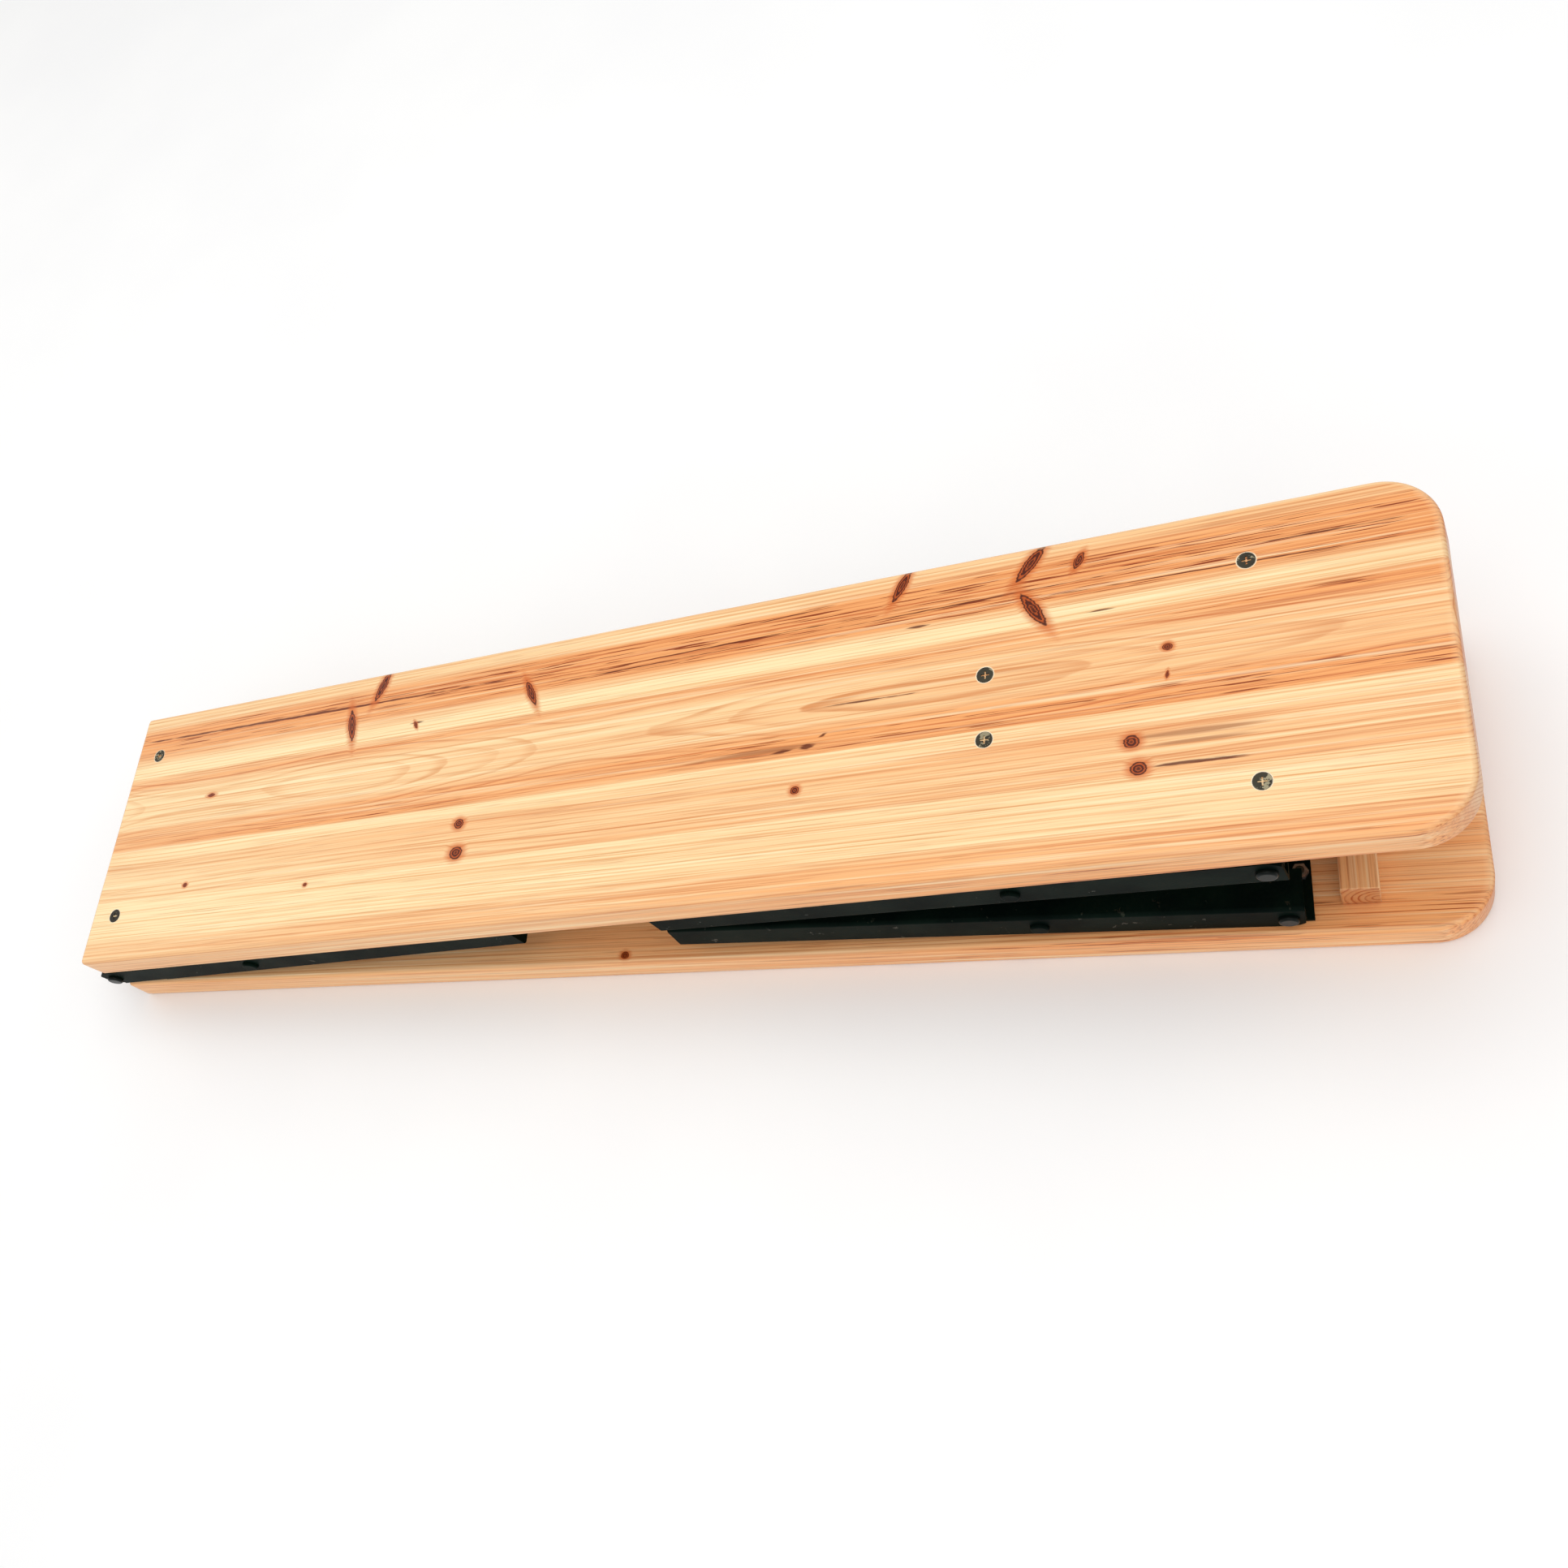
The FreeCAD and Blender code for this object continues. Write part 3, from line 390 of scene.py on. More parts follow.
def pine(name, knots, streaks, brown_streaks, stave_values, red_stops):
    """Lacquered pine: rings and fibres first, then streaks, knots, tone, wear, gloss and bump, in turn."""
    material, nodes, shader = new_material(name)
    wood = nodes.add("ShaderNodeAttribute", output="Vector", attribute_name="wood")
    worn = nodes.add("ShaderNodeAttribute", output="Fac", attribute_name="worn")
    end = nodes.add("ShaderNodeAttribute", output="Fac", attribute_name="end")
    across = nodes.add("ShaderNodeSeparateXYZ", {"Vector": wood}, output="Y")
    passed = [nodes.math("GREATER_THAN", across, seam) for seam in SEAMS]

    def by_stave(values):
        """Adds each stave's step over the one before it, once its seam is passed."""
        total = values[0]
        for step, before, after in zip(passed, values, values[1:]):
            total = nodes.math("MULTIPLY_ADD", step, after - before, total)
        return total

    pith_across, pith_depth, spacing, wander, tone = [by_stave(v) for v in zip(*stave_values)]
    stave = by_stave(STAVE_SEEDS)
    near_knot = nearest(nodes, wood, knots)
    bend = nodes.math("MULTIPLY", nodes.smooth(near_knot, 0.7, 2.6, 1.0, 0.0), KNOT_BEND)
    rings = use_group(nodes, RINGS, {"Wood": wood, "Pith Across": pith_across, "Pith Depth": pith_depth,
                                     "Wander": wander, "Seed": stave, "Spacing": spacing, "Bend": bend})

    shifted = nodes.add("ShaderNodeCombineXYZ", {"X": stave, "Y": stave})
    own = nodes.add("ShaderNodeVectorMath", {0: wood, 1: shifted}, operation="ADD")
    fibre = nodes.noise(nodes.stretch(own, (4.5, 760, 560)), detail=3.0, rough=0.6)
    stripe = nodes.noise(nodes.stretch(own, (2.4, 300, 160)), detail=3.0, rough=0.62)
    dash = nodes.noise(nodes.stretch(own, (17, 820, 600)), detail=2.0, rough=0.4)
    cloud = nodes.noise(nodes.stretch(own, (3.2, 42, 30)), detail=2.5)
    wide = nodes.noise(nodes.stretch(own, (1.6, 26, 12)), detail=1.5)
    ragged = nodes.noise(nodes.stretch(own, (55, 500, 300)), detail=3.0)

    red = redness(nodes, wood, across, wide, stripe, red_stops)
    early, late = nodes.mix(red, *EARLY_WOOD), nodes.mix(red, *LATE_WOOD)
    strength = nodes.math("MULTIPLY", nodes.smooth(rings["Age"], 0.0, 1.0, 0.2, 0.9),
                          nodes.smooth(cloud, 0.3, 0.7, 0.35, 0.95))
    # a cut end shows the rings strongly, and the fibres there are only pores
    lengthwise = nodes.math("SUBTRACT", 1.0, end)
    strength = nodes.math("MULTIPLY_ADD", end, 0.5, strength)
    colour = nodes.mix(nodes.math("MULTIPLY", rings["Late"], strength), early, late)
    fibres = nodes.math("MULTIPLY", nodes.smooth(fibre, 0.47, 0.7, 0.0, 0.7), lengthwise)
    colour = nodes.mix(fibres, colour, late)
    pale = nodes.math("MULTIPLY", nodes.smooth(stripe, 0.48, 0.25, 0.0, 0.5), lengthwise)
    colour = nodes.mix(pale, colour, PALE_FIBRE)
    dashes = nodes.math("MULTIPLY", nodes.smooth(dash, 0.585, 0.64),
                        nodes.smooth(red, 0.75, 1.1, 0.14, 1.0))
    colour = nodes.mix(nodes.math("MULTIPLY", dashes, lengthwise), colour, RESIN_DASH)

    # brown streaks, dark resin streaks, then the knots, each with a ragged edge
    if brown_streaks:
        away = nodes.math("MULTIPLY_ADD", fibre, 1.6, nearest(nodes, wood, brown_streaks))
        colour = nodes.mix(nodes.smooth(away, 1.3, 2.1, 0.62, 0.0), colour, BROWN_STREAK)
    if streaks:
        away = nodes.math("MULTIPLY_ADD", ragged, 1.5, nearest(nodes, wood, streaks))
        colour = nodes.mix(nodes.smooth(away, 1.2, 1.8, 0.88, 0.0), colour, RESIN_STREAK)
    away = nodes.math("MULTIPLY_ADD", ragged, 0.55, nodes.math("SUBTRACT", near_knot, 0.1))
    colour = lay_knots(nodes, colour, away)

    # the stave's own tone, the darker cut ends, the rubbed edges and the bare band round each bolt
    colour = nodes.mix(1.0, colour, nodes.add("ShaderNodeCombineColor", {0: tone, 1: tone, 2: tone}),
                       blend="MULTIPLY")
    colour = nodes.mix(nodes.math("MULTIPLY", end, 0.7), colour, CUT_END, blend="MULTIPLY")
    rubbed = nodes.math("MULTIPLY", worn, nodes.smooth(cloud, 0.35, 0.65, 0.1, 0.5))
    colour = nodes.mix(rubbed, colour, RUBBED)
    colour = nodes.mix(nodes.smooth(worn, 1.1, 1.8), colour, BARE)

    gloss = nodes.math("MULTIPLY_ADD", nodes.noise(nodes.stretch(own, (14, 60, 30))), 0.16, 0.27)
    gloss = nodes.math("MULTIPLY_ADD", worn, 0.12, gloss)
    relief = nodes.math("ADD", nodes.math("MULTIPLY", rings["Late"], 0.5), nodes.math("MULTIPLY", fibre, 0.5))
    relief = nodes.math("ADD", relief, nodes.smooth(away, 0.6, 1.4, 0.8, 0.0))
    bump = nodes.add("ShaderNodeBump", {"Height": relief, "Strength": 0.22, "Distance": GRAIN_RELIEF},
                     output="Normal")
    feed(nodes, shader, Base_Color=colour, Roughness=gloss, Normal=bump, Specular_IOR_Level=0.2,
         Coat_Weight=0.03, Coat_Roughness=0.22)
    return material


# %% [markdown]
# The knots and streaks of the upper board are placed one by one, as a person would describe this board:
# spike knots and long resin lines in the far, reddest stave, and pairs of round knots in the second
# stave from the near edge. The lower board has its own, because it came from other trees.

# %% Knots of the two boards
UPPER_KNOTS = [
    (891, 111, 17, 4.4, 52), (893, 72, 17, 4.6, -58), (792, 113, 14, 3.8, 62), (926, 106, 7, 3.2, 62),
    (297, 112, 15, 4.2, 68), (270, 77, 16, 4.0, -76), (463, 77, 14, 3.4, -62), (344, 66, 4, 1.6, -60),
    (411, -35, 4.6, 4.0, 0), (413, -61, 6.0, 5.2, 0), (959, -42, 5.2, 4.4, 0), (963, -62, 5.4, 4.6, 0),
    (985, 25, 3.2, 2.6, 0), (984, 4, 2.8, 1.2, 80), (715, -45, 3.4, 3.0, 0), (115, 29, 4.4, 1.8, 0),
    (111, -59, 2.4, 2.0, 0), (256, -73, 2.0, 1.6, 0)]
UPPER_STREAKS = [
    (200, 96.5, 300, 1.6, -0.5), (640, 90, 160, 0.8, 1), (845, 88, 130, 0.8, 1), (1030, 80, 140, 0.8, -0.5),
    (1003, -62, 40, 1.7, 0), (768, 20, 46, 0.9, 0), (703, -12, 12, 2.2, 4), (722, -11, 8, 2.6, 3),
    (735, -3, 4, 1.6, 20), (806, 75, 12, 1.2, 1), (940, 62, 14, 1.0, 0), (700, 105, 40, 0.8, 2),
    (560, 84, 90, 0.8, 1), (1090, 93, 60, 0.8, 0), (345, 68, 8, 1.4, 0)]
UPPER_BROWN = [(1000, -40, 44, 2.6, 0), (680, -10, 55, 2.8, 1), (1000, -47, 40, 1.6, 0)]
LOWER_KNOTS = [
    (520, -118, 3.4, 3.0, 0), (205, 40, 6.0, 5.2, 0), (640, 88, 12, 3.4, 60), (655, 20, 5.0, 4.4, 0),
    (905, -30, 6.4, 5.5, 0), (350, -95, 4.4, 4.0, 0), (1060, 70, 11, 3.0, -58), (90, 98, 5.0, 4.2, 0)]
LOWER_STREAKS = [(985, -104, 90, 1.6, 1), (420, 66, 130, 1.0, 0), (760, -52, 60, 1.2, 1)]
LOWER_BROWN = [(300, -90, 70, 5, 0), (940, -30, 40, 4, 0)]

# each stave, from the near edge: pith across, pith depth, ring spacing, wander and tone
UPPER_STAVES = [(-0.205, 0.045, 0.0025, 0.006, 1.00), (-0.140, 0.050, 0.0031, 0.008, 1.00),
                (0.022, 0.012, 0.0025, 0.020, 0.99), (0.210, 0.045, 0.0027, 0.006, 0.98)]
LOWER_STAVES = [(-0.210, 0.040, 0.0030, 0.006, 1.05), (-0.130, 0.030, 0.0034, 0.010, 1.04),
                (0.015, 0.016, 0.0028, 0.018, 1.03), (0.190, 0.030, 0.0032, 0.008, 1.04)]
# how red the wood is across each board, from the near edge to the far one
UPPER_RED = [(-125, 0.78), (-110, 0.62), (-101, 0.10), (-78, 0.18), (-68, 0.24), (-66, 0.60), (-50, 0.42),
             (-34, 0.52), (-24, 0.18), (-18.5, 0.22), (-17.5, 0.86), (-2, 0.90), (10, 0.36), (38, 0.44),
             (50, 0.90), (57, 0.52), (58, 0.00), (68, 0.06), (80, 1.00), (97, 1.15), (106, 1.00),
             (114, 0.50), (125, 0.40)]
LOWER_RED = [(-125, 0.80), (-100, 0.66), (-68, 0.55), (-66, 0.78), (-40, 0.64), (-18.5, 0.45),
             (-17.5, 0.70), (25, 0.54), (57, 0.62), (58, 0.40), (90, 0.68), (125, 0.52)]
BOARD_PINE = {
    "upper": pine("upper_pine", UPPER_KNOTS, UPPER_STREAKS, UPPER_BROWN, UPPER_STAVES, UPPER_RED),
    "lower": pine("lower_pine", LOWER_KNOTS, LOWER_STREAKS, LOWER_BROWN, LOWER_STAVES, LOWER_RED)}
BATTEN_PINE = pine("batten_pine", [], [], [], [(0.010, -0.004, 0.0042, 0.004, 0.92)] * 4,
                   [(-125, 0.30), (125, 0.30)])
print("materials", len(bpy.data.materials))

# %% [markdown]
# A board is a grid on each face, joined by a rim. A plain grid has square corners and square holes, but
# a square can be rounded by one rule: scale each point by how far it is along the square, over how far
# it is along the circle. Used in a corner it gives the board's round corners, and used around a bolt it
# gives a round recess, with the same few grid lines.

# %% Grid lines
BOLTS = [(x * MM, y * MM) for x, spread in ((1039, 162.5), (858, 51), (30, 162.5))
         for y in (-spread / 2, spread / 2)]
RECESS_RINGS = np.array([0, 2.5, 4.5, 6.1, 6.4, 7.4, 9.5, 12]) * MM
RECESS_DEPTH = 0.9 * MM
RECESS_WALL = (6.05 * MM, 6.45 * MM)      # the recess's radius at its bottom and at its top
BARED = (5 * MM, 7 * MM)                  # the band round a bolt where the wood is bare
SEAM_RINGS = np.array([0, 0.35, 1.2]) * MM
SEAM_DEPTH = 0.05 * MM
SEAM_WIDTH = 0.45 * MM
CUP = 0.12 * MM                           # each stave is hollow by this much in its middle
TINY = 1e-9
print("bolts in each board", len(BOLTS))


def grid_lines(low, high, step, holes, seams, rounds):
    """Lines from low to high. Each hole and seam brings its own close lines, and even lines fill the rest."""
    close = [hole + side * RECESS_RINGS for hole in holes for side in (-1, 1)]
    close += [seam + side * SEAM_RINGS for seam in seams for side in (-1, 1)]
    close = np.concatenate([np.ravel(c) for c in close] + [rounds, [low, high]])
    even = np.linspace(low, high, int(round((high - low) / step)) + 1)
    reach = np.min(np.abs(even[:, None] - close[None, :]), axis=1)
    merged = np.unique(np.round(np.concatenate([even[reach > 0.4 * step], close]), 6))
    return merged[(merged >= low - TINY) & (merged <= high + TINY)]


def rounding(a, b):
    """The scale that makes a square ring of points a circle: the larger side over the diagonal."""
    diagonal = np.hypot(a, b)
    return np.where(diagonal > 0, np.maximum(np.abs(a), np.abs(b)) / np.maximum(diagonal, TINY), 1.0)


def ease(value, low, high):
    """0 below low, 1 above high, and a smooth step between."""
    t = np.clip((value - low) / (high - low), 0, 1)
    return t * t * (3 - 2 * t)


# %% [markdown]
# The faces are made first, inset by the arris, and the rim is then carried round their edge: at each
# edge point the outline's outward direction is known, and the profile turns a quarter circle outwards
# and down, goes straight along the side, and turns back in. Wear makes the arris slightly wider in some
# places than in others, as sanding and hands do.

# %% One board
STEP_ALONG, STEP_ACROSS = 9 * MM, 5.5 * MM      # the even lines of a board's grid
WEAR = 0.25 * MM                                # how much the arris is rubbed away on average


def board_face():
    """The seat face as flat points, the outward direction at each, and the grid's size."""
    inner_low, inner_high = BOARD_START + ARRIS, BOARD_END - ARRIS
    inner_half = BOARD_WIDTH / 2 - ARRIS
    small, large = JOINT_CORNER - ARRIS, OUTER_CORNER - ARRIS
    quarter = np.linspace(0, 1, 12)
    along_rounds = np.concatenate([inner_low + small * np.array([0.5, 1]), inner_high - large * quarter])
    across_rounds = np.concatenate([side * (inner_half - r * q) for side in (-1, 1)
                                    for r, q in ((large, quarter), (small, np.array([0.5, 1])))])
    along = grid_lines(inner_low, inner_high, STEP_ALONG, sorted({x for x, y in BOLTS}), [],
                       along_rounds)
    across = grid_lines(-inner_half, inner_half, STEP_ACROSS, sorted({y for x, y in BOLTS}), SEAMS,
                        across_rounds)
    x, y = [g.ravel().copy() for g in np.meshgrid(along, across, indexing="ij")]
    # the outward direction: along at the ends, across at the sides, and turning in the corners
    out = np.zeros((x.size, 2))
    out[:, 0] = np.where(x >= inner_high - TINY, 1, np.where(x <= inner_low + TINY, -1, 0))
    side_edge = np.abs(y) >= inner_half - TINY
    out[:, 1] = np.where(side_edge & (out[:, 0] == 0), np.sign(y), 0)
    for end_x, sign, radius in ((inner_low, -1, small), (inner_high, 1, large)):
        for side in (-1, 1):
            a = sign * (x - (end_x - sign * radius))
            b = side * (y - side * (inner_half - radius))
            corner = (a > -TINY) & (b > -TINY)
            scale = rounding(a, b)
            turn = np.stack([sign * a, side * b], axis=1)
            turn /= np.maximum(np.linalg.norm(turn, axis=1, keepdims=True), TINY)
            x = np.where(corner, end_x - sign * radius + sign * a * scale, x)
            y = np.where(corner, side * (inner_half - radius) + side * b * scale, y)
            edge = corner & (np.maximum(a, b) >= radius - TINY)
            out[edge] = turn[edge]
    return np.stack([x, y], axis=1), out, (len(along), len(across))


def seat_relief(flat):
    """Three arrays: the face's points with the rings round each bolt made round, the height of each (a
    recess at each bolt, a fine groove at each seam and a shallow cup in each stave), and how bare the
    wood is, which is 1 in a narrow band round each bolt."""
    x, y = flat[:, 0].copy(), flat[:, 1].copy()
    height = np.zeros(len(flat))
    bared = np.zeros(len(flat))
    for bolt_x, bolt_y in BOLTS:
        a, b = flat[:, 0] - bolt_x, flat[:, 1] - bolt_y
        ring = np.maximum(np.abs(a), np.abs(b))
        near = ring < RECESS_RINGS[-1] - 1e-7
        scale = rounding(a, b)
        scale = scale + (1 - scale) * ease(ring, RECESS_RINGS[-2] * 0.8, RECESS_RINGS[-1])
        x = np.where(near, bolt_x + a * scale, x)
        y = np.where(near, bolt_y + b * scale, y)
        height -= np.where(near, RECESS_DEPTH * (1 - ease(ring, *RECESS_WALL)), 0)
        bared += (ring > BARED[0]) * (ring < BARED[1])
    for seam in SEAMS:
        height -= SEAM_DEPTH * np.exp(-((flat[:, 1] - seam) / SEAM_WIDTH) ** 2)
    edges = np.array([-BOARD_WIDTH / 2, *SEAMS, BOARD_WIDTH / 2])
    stave = np.clip(np.searchsorted(edges, flat[:, 1]) - 1, 0, 3)
    middle, width = (edges[stave] + edges[stave + 1]) / 2, edges[stave + 1] - edges[stave]
    height -= CUP * (1 - (2 * (flat[:, 1] - middle) / width) ** 2)
    return np.stack([x, y], axis=1), height, bared


def slow_wave(along, across, seed):
    """A smooth wobble between -1 and 1: a few sine waves of unlike lengths, added."""
    return (np.sin(along * 23 + seed) + np.sin(along * 61 + across * 17 + 2 * seed)
            + np.sin(along * 131 - across * 29 + 5 * seed)) / 3


def make_board(half, seed):
    """A closed board: the seat face, the inner face and the rim between them, with grain and wear."""
    flat, out, (rows, columns) = board_face()
    seat_flat, seat_height, bared = seat_relief(flat)
    count = len(flat)
    seat = np.column_stack([seat_flat, -BOARD_THICKNESS - seat_height])
    inner = np.column_stack([flat, np.zeros(count)])
    number = np.arange(count).reshape(rows, columns)
    loop = np.concatenate([number[:-1, 0], number[-1, :-1], number[:0:-1, -1], number[0, :0:-1]])
    wobble = slow_wave(flat[loop, 0], flat[loop, 1], seed)
    turns = np.radians(np.linspace(15, 90, 6))
    profile = [(ARRIS * math.sin(t), -BOARD_THICKNESS + ARRIS * (1 - math.cos(t))) for t in turns]
    profile += [(ARRIS, -BOARD_THICKNESS * share) for share in (0.75, 0.5, 0.25)]
    profile += [(ARRIS * math.sin(t), -ARRIS * (1 - math.cos(t))) for t in turns[::-1]]
    rim = []
    for reach, height in profile:
        rubbed = WEAR * (1 + wobble) * math.sin(math.pi * reach / ARRIS)
        base = np.where(height < -BOARD_THICKNESS / 2, seat_height[loop], 0)
        rim.append(np.column_stack([flat[loop] + out[loop] * (reach - rubbed)[:, None],
                                    np.full(len(loop), height) - base * (reach < ARRIS * 0.5)]))
    points = np.concatenate([seat, inner] + rim)
    # faces: the seat face looks away from the inner one, and the rim's rings join them in turn
    seat_faces = grid_faces(rows, columns)[:, ::-1]
    inner_faces = grid_faces(rows, columns, start=count)
    rings = [2 * count + k * len(loop) + np.arange(len(loop)) for k in range(len(rim))]
    rings = [loop] + rings + [loop + count]
    bands = [np.stack([np.roll(a, -1), np.roll(b, -1), b, a], axis=1)[:, ::-1]
             for a, b in zip(rings, rings[1:])]
    faces = np.concatenate([seat_faces, inner_faces] + bands)
    exposed = np.concatenate([2.0 * bared, np.zeros(count)] + [
        np.full(len(loop), math.sin(math.pi * min(1, reach / ARRIS)) if reach < ARRIS else 0.1)
        for reach, height in profile])
    exposed[loop] = 0.5
    exposed[loop + count] = 0.5
    facing_end = np.concatenate([np.zeros(2 * count)] + [
        np.abs(out[loop, 0]) ** 2 * min(1, reach / ARRIS) for reach, height in profile])
    piece = make_piece(half + "_seat_board", HALVES[half](points), faces, BOARD_PINE[half],
                       wood=points, worn=exposed, end=facing_end)
    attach(piece, half + "_half")
    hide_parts(half + "_board")
    print(piece.name, len(points), "points", len(faces), "quads")


for half, seed in (("lower", 1.7), ("upper", 4.2)):
    make_board(half, seed)

# %% [markdown]
# A batten is a short sawn bar, screwed across the boards so that the staves can't part. Its grain runs
# across the bench, so its ends show rings. It is a rounded rectangle carried across the bench, drawn in
# a little at both ends where the saw's edge was broken with sandpaper.

# %% Battens
BATTEN_LOW, BATTEN_HIGH = half_box("lower_batten")
BATTEN_ROUND = 1.5 * MM     # the radius of its four long edges
BATTEN_WAVE = 0.15 * MM     # how far the saw left its sides from flat
BATTEN_GRAIN = 3.0          # metres from the boards' wood, so that the batten reads other grain


def rounded_rectangle(width, height, radius, steps=5):
    """A closed outline, corner by corner: each corner is a quarter circle about its own centre."""
    corners = []
    for k, (cx, cy) in enumerate(((1, 1), (-1, 1), (-1, -1), (1, -1))):
        turn = np.radians(90 * k + np.linspace(0, 90, steps))
        corners.append(np.column_stack([cx * (width / 2 - radius) + radius * np.cos(turn),
                                        cy * (height / 2 - radius) + radius * np.sin(turn)]))
    return np.concatenate(corners)


def make_batten(half):
    """A closed bar: the outline is set at stations across the bench, and shrinks to a point at its ends."""
    width, length, height = BATTEN_HIGH - BATTEN_LOW
    middle = (BATTEN_HIGH[0] + BATTEN_LOW[0]) / 2
    # each station is a place across, in shares of half the length, and the outline's scale there
    stations = [(-1, 0.0), (-1, 0.35), (-1, 0.7), (-1, 0.94), (-0.9925, 1.0)]
    stations += [(s, 1.0) for s in np.linspace(-0.95, 0.95, 15)]
    stations += [(-s, share) for s, share in stations[4::-1]]
    rings = []
    for where, share in stations:
        outline = rounded_rectangle(width, height, BATTEN_ROUND)
        rings.append(np.column_stack([middle + outline[:, 0] * share,
                                      np.full(len(outline), where * length / 2),
                                      height / 2 + outline[:, 1] * share]))
    points = np.concatenate(rings)
    columns = len(rings[0]) + 1
    number = np.arange(len(points)).reshape(len(rings), -1)
    number = np.column_stack([number, number[:, 0]]).ravel()
    faces = number[grid_faces(len(rings), columns)]
    points[:, 0] += BATTEN_WAVE * slow_wave(points[:, 1] * 3, points[:, 2], 2.0)
    wood = np.column_stack([points[:, 1] + BATTEN_GRAIN, points[:, 0] - middle,
                            points[:, 2] - height / 2])
    is_end = np.repeat([abs(where) > 0.999 for where, share in stations], columns - 1).astype(float)
    piece = make_piece(half + "_end_batten", HALVES[half](points), faces, BATTEN_PINE, wood=wood,
                       worn=0.3 * (1 - is_end), end=is_end)
    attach(piece, half + "_half")
    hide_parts(half + "_batten")
    print(piece.name, len(points), "points", len(faces), "quads")


for half in HALVES:
    make_batten(half)

# %% [markdown]
# The steel is painted a very dark green and has a low satin gloss. Real paint on rolled steel is never
# flat: it has a fine orange peel, a little grey dust on what faces up, and small chips down to the metal.
# The bolts, nuts and rivets want the same marks in other amounts, so the marks are a group.

# %% Group: dust and chips
PATCH_SCALE, GRAIN_SCALE, PEEL_SCALE = 14.0, 420.0, 650.0     # bumps per metre of the three noises
CHIP_START = 0.80           # noise above this is a chip, and each unit of Chips lowers it by CHIP_DROP
CHIP_DROP = 0.12


def dust_and_chips_group():
    nodes, given, result = new_group(
        "dust_and_chips", [("Position", "Vector", (0, 0, 0)), ("Chip Size", "Float", 90.0),
                           ("Chips", "Float", 0.5), ("Dust", "Float", 0.3)],
        [("Chip", "Float"), ("Dust", "Float"), ("Peel", "Float")])
    spots = nodes.noise(given["Position"], given["Chip Size"], detail=4.0, rough=0.65)
    patch = nodes.noise(given["Position"], PATCH_SCALE, detail=2.0)
    edge = nodes.math("MULTIPLY_ADD", given["Chips"], -CHIP_DROP, CHIP_START)
    chip = nodes.smooth(nodes.math("MULTIPLY_ADD", patch, 0.22, spots), edge,
                        nodes.math("ADD", edge, 0.02))
    up = nodes.add("ShaderNodeNewGeometry", output="Normal")
    facing = nodes.add("ShaderNodeSeparateXYZ", {"Vector": up}, output="Z")
    grains = nodes.noise(given["Position"], GRAIN_SCALE, detail=3.0)
    dust = nodes.math("MULTIPLY", nodes.smooth(facing, 0.2, 0.95),
                      nodes.smooth(grains, 0.4, 0.7, 0.25, 1.0))
    dust = nodes.math("MULTIPLY", nodes.math("MULTIPLY", dust, nodes.smooth(patch, 0.35, 0.65, 0.3, 1.0)),
                      given["Dust"])
    peel = nodes.noise(given["Position"], PEEL_SCALE, detail=2.0)
    for label, value in (("Chip", chip), ("Dust", dust), ("Peel", peel)):
        nodes.tree.links.new(value, result.inputs[label])
    return nodes.tree


DUST_AND_CHIPS = dust_and_chips_group()


def steel(name, base, darker, chipped, roughness, metallic, chips, dust, peel_depth, specular):
    """One steel finish: its colour with darker patches, chips that show bare metal, dust and peel."""
    material, nodes, shader = new_material(name)
    position = nodes.add("ShaderNodeTexCoord", output="Object")
    marks = use_group(nodes, DUST_AND_CHIPS, {"Position": position, "Chips": chips, "Dust": dust})
    patch = nodes.noise(position, 26.0, detail=3.0)
    colour = nodes.mix(nodes.smooth(patch, 0.35, 0.7), base, darker)
    colour = nodes.mix(marks["Chip"], colour, chipped)
    colour = nodes.mix(marks["Dust"], colour, srgb(150, 148, 138))
    rough = nodes.math("MULTIPLY_ADD", patch, 0.18, roughness - 0.09)
    rough = nodes.math("MULTIPLY_ADD", marks["Dust"], 0.35, rough)
    height = nodes.math("SUBTRACT", marks["Peel"], marks["Chip"])
    bump = nodes.add("ShaderNodeBump", {"Height": height, "Strength": 0.3, "Distance": peel_depth},
                     output="Normal")
    shine = nodes.math("MAXIMUM", metallic, nodes.math("MULTIPLY", marks["Chip"], 0.9))
    feed(nodes, shader, Base_Color=colour, Roughness=rough, Metallic=shine, Normal=bump,
         Specular_IOR_Level=specular)
    return material


GREEN = steel("green_paint", srgb(7, 21, 15), srgb(3, 12, 9), srgb(44, 48, 40), roughness=0.45,
              metallic=0.0, chips=0.2, dust=0.006, peel_depth=0.2 * MM, specular=0.02)
BOLT = steel("bolt_plating", srgb(58, 54, 40), srgb(34, 30, 22), srgb(150, 142, 116), roughness=0.5,
             metallic=0.3, chips=1.0, dust=0.03, peel_depth=0.1 * MM, specular=0.3)
ZINC = steel("zinc_plating", srgb(168, 168, 164), srgb(128, 130, 128), srgb(150, 120, 80), roughness=0.36,
             metallic=0.9, chips=0.3, dust=0.2, peel_depth=0.1 * MM, specular=0.5)
RIVET = steel("rivet_steel", srgb(17, 24, 21), srgb(9, 15, 12), srgb(70, 68, 60), roughness=0.3,
              metallic=0.1, chips=0.1, dust=0.0, peel_depth=0.1 * MM, specular=0.12)

# %% [markdown]
# The legs, plates, links, bolts, nuts and screws have their true shape already, so they only get a
# finish. A piece's name says what it is, so the finish is chosen by a word in the name, and everything
# that isn't a fastener, a rivet or a pin is painted.

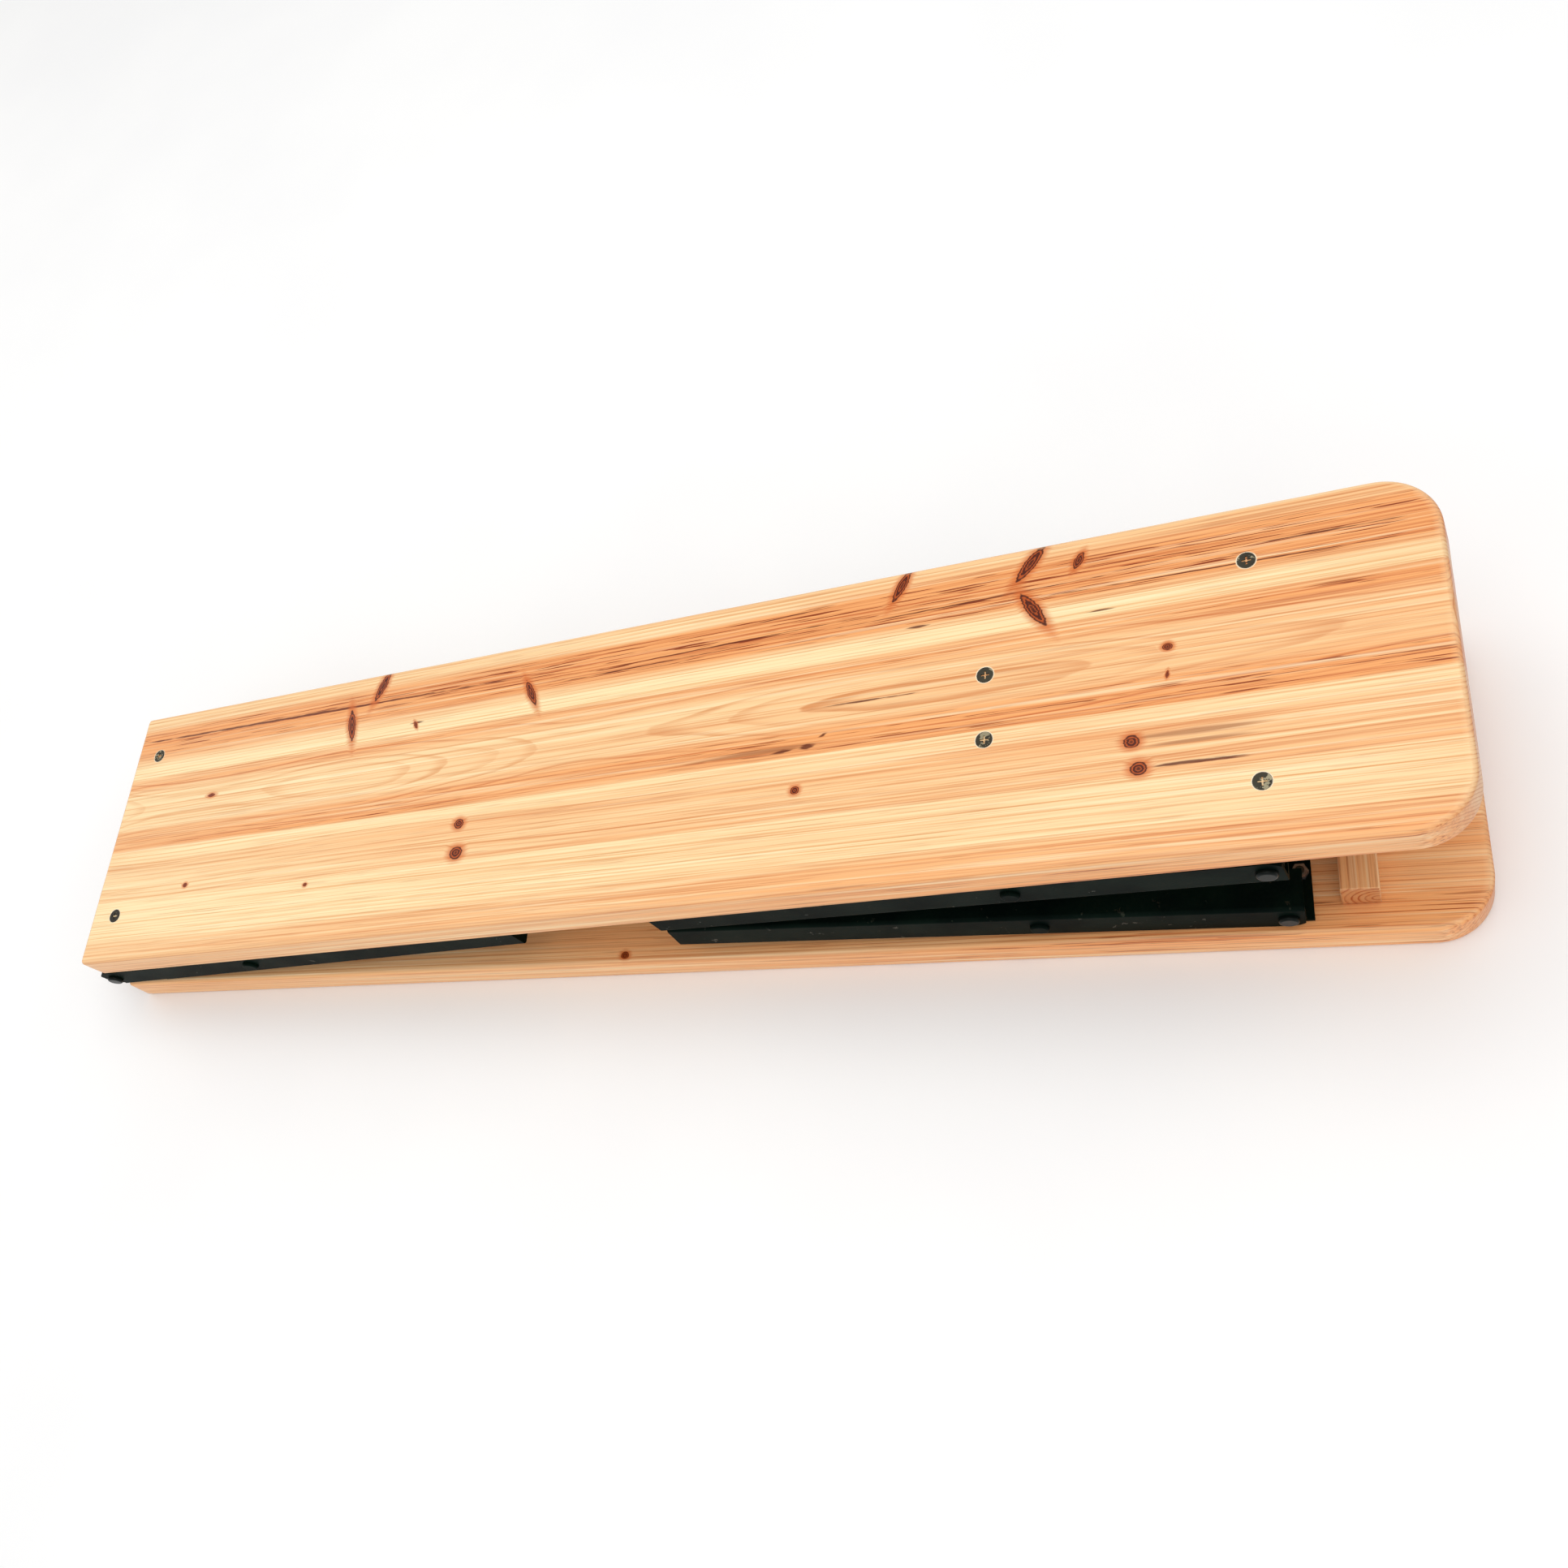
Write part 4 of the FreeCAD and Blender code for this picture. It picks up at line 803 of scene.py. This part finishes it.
# %% Give every other CAD node its finish
MADE_AGAIN = {"lower_board", "upper_board", "lower_batten", "upper_batten"}
FINISH_BY_WORD = {"bolts": BOLT, "nuts": ZINC, "screws": ZINC, "rivet": RIVET, "pin": RIVET}
kept = {name: node for name, node in frame["nodes"].items() if name not in MADE_AGAIN}
for name, node in kept.items():
    finish = next((choice for word, choice in FINISH_BY_WORD.items() if word in name), GREEN)
    node.data.materials.clear()
    node.data.materials.append(finish)
print("CAD nodes given a finish", len(kept))

# %% [markdown]
# The bench lies on a plain pale floor under a large soft light, the way a product is shown. A big light
# close overhead gives soft shadows, a second one from the left puts the sheen on the lacquer, and a pale
# world fills the shade between the boards.

# %% Floor, light and world
FLOOR = -0.3 * MM           # a hair below the bench, so that flush bolt heads don't show through
FLOOR_REACH = 14.0          # metres from the middle to each edge
WORLD_STRENGTH = 0.68


def make_floor():
    """One square of floor, corner by corner."""
    signs = np.array([[-1, -1], [1, -1], [1, 1], [-1, 1]])
    corners = np.column_stack([signs * FLOOR_REACH, np.full(len(signs), FLOOR)])
    material, nodes, shader = new_material("pale_floor")
    speckle = nodes.noise(nodes.add("ShaderNodeTexCoord", output="Object"), 3.0, detail=3.0)
    colour = nodes.mix(nodes.smooth(speckle, 0.3, 0.7), (0.95, 0.95, 0.95, 1), (0.98, 0.98, 0.975, 1))
    feed(nodes, shader, Base_Color=colour, Roughness=0.75)
    floor = make_piece("floor", corners, np.array([[0, 1, 2, 3]]), material)


def area_light(name, place, target, size, power, colour=(1, 1, 1)):
    """A rectangular lamp that faces its target: size in metres, power in watts."""
    data = bpy.data.lights.new(name, "AREA")
    data.shape = "RECTANGLE"
    data.size, data.size_y = size
    data.energy = power
    data.color = colour
    light = bpy.data.objects.new(name, data)
    light.location = place
    light.rotation_mode = "QUATERNION"
    light.rotation_quaternion = (Vector(target) - Vector(place)).to_track_quat("-Z", "Y")
    bpy.context.scene.collection.objects.link(light)


make_floor()
area_light("overhead", (0.35, 0.1, 2.6), (0.1, 0, 0), (2.6, 2.0), 30)
area_light("left_window", (-2.4, 0.9, 1.5), (-0.2, 0, 0.1), (1.6, 1.6), 8, (1.0, 0.985, 0.96))
area_light("near_fill", (0.9, -2.6, 1.0), (0.1, 0, 0.1), (2.2, 1.4), 8, (0.97, 0.985, 1.0))
world = bpy.data.worlds.new("studio")
world.use_nodes = True
sky = world.node_tree.nodes["Background"].inputs
sky["Color"].default_value = (1, 1, 1, 1)
sky["Strength"].default_value = WORLD_STRENGTH
bpy.context.scene.world = world
bpy.context.scene.view_settings.view_transform = "Standard"
print("floor at", FLOOR, "lights", len(bpy.data.lights))

# %% [markdown]
# The camera stands near the outer end and looks down along the bench, so that end of the board looks
# larger than the joint end. It is rolled a long way over, so that the bench lies nearly level in the
# frame. It is placed in the upper board's own frame, where its height over the seat is easy to judge, and
# then moved with the board's tilt.

# %% Camera
CAMERA_PLACE = np.array([1200.6, -528.8, 943.2]) * MM    # from the joint edge's middle, over the seat face
CAMERA_HEADING = math.radians(135.26)      # where it looks, from along towards across
CAMERA_DIP = math.radians(48.97)           # how far it looks down from level
CAMERA_ROLL = math.radians(-46.84)         # how far its right side is lifted, so here it is lowered
SENSOR_WIDTH = 36.0                        # in millimetres, as Blender counts it
LENS_PER_WIDTH = 1.0224                    # focal length over the sensor's width
SHIFT = (0.0600, -0.0563)                  # the lens stands off the middle of the frame, in frame widths


def camera_axes():
    """The camera's right, up and back over the seat: back is opposite to where it looks, level lies flat
    to its right, steep is square to both, and the roll turns level and steep into right and up."""
    back = np.array([-math.cos(CAMERA_DIP) * math.cos(CAMERA_HEADING),
                     -math.cos(CAMERA_DIP) * math.sin(CAMERA_HEADING), math.sin(CAMERA_DIP)])
    level = np.array([math.sin(CAMERA_HEADING), -math.cos(CAMERA_HEADING), 0])
    steep = np.cross(back, level)
    cosine, sine = math.cos(CAMERA_ROLL), math.sin(CAMERA_ROLL)
    return level * cosine + steep * sine, steep * cosine - level * sine, back


def seat_direction(vector):
    """Turns a direction of the upper seat face by the open angle."""
    along, across, up = vector
    cosine, sine = math.cos(OPEN_ANGLE), math.sin(OPEN_ANGLE)
    return np.array([along * cosine - up * sine, across, along * sine + up * cosine])


def make_camera():
    """A camera whose matrix holds its three axes as columns and its place as the fourth."""
    over_axis = PIVOT_HEIGHT + BOARD_THICKNESS
    place = seat_direction(CAMERA_PLACE + [0, 0, over_axis]) + FOLD_AXIS
    data = bpy.data.cameras.new("camera")
    data.sensor_width = SENSOR_WIDTH
    data.lens = data.sensor_width * LENS_PER_WIDTH
    data.shift_x, data.shift_y = SHIFT
    data.clip_start, data.clip_end = 0.05, 60.0
    camera = bpy.data.objects.new("camera", data)
    matrix = np.eye(4)
    matrix[:3, :3] = np.column_stack([seat_direction(axis) for axis in camera_axes()])
    matrix[:3, 3] = place
    camera.matrix_world = Matrix(matrix.tolist())
    bpy.context.scene.collection.objects.link(camera)
    bpy.context.scene.camera = camera
    print("camera at", place.round(3))


make_camera()
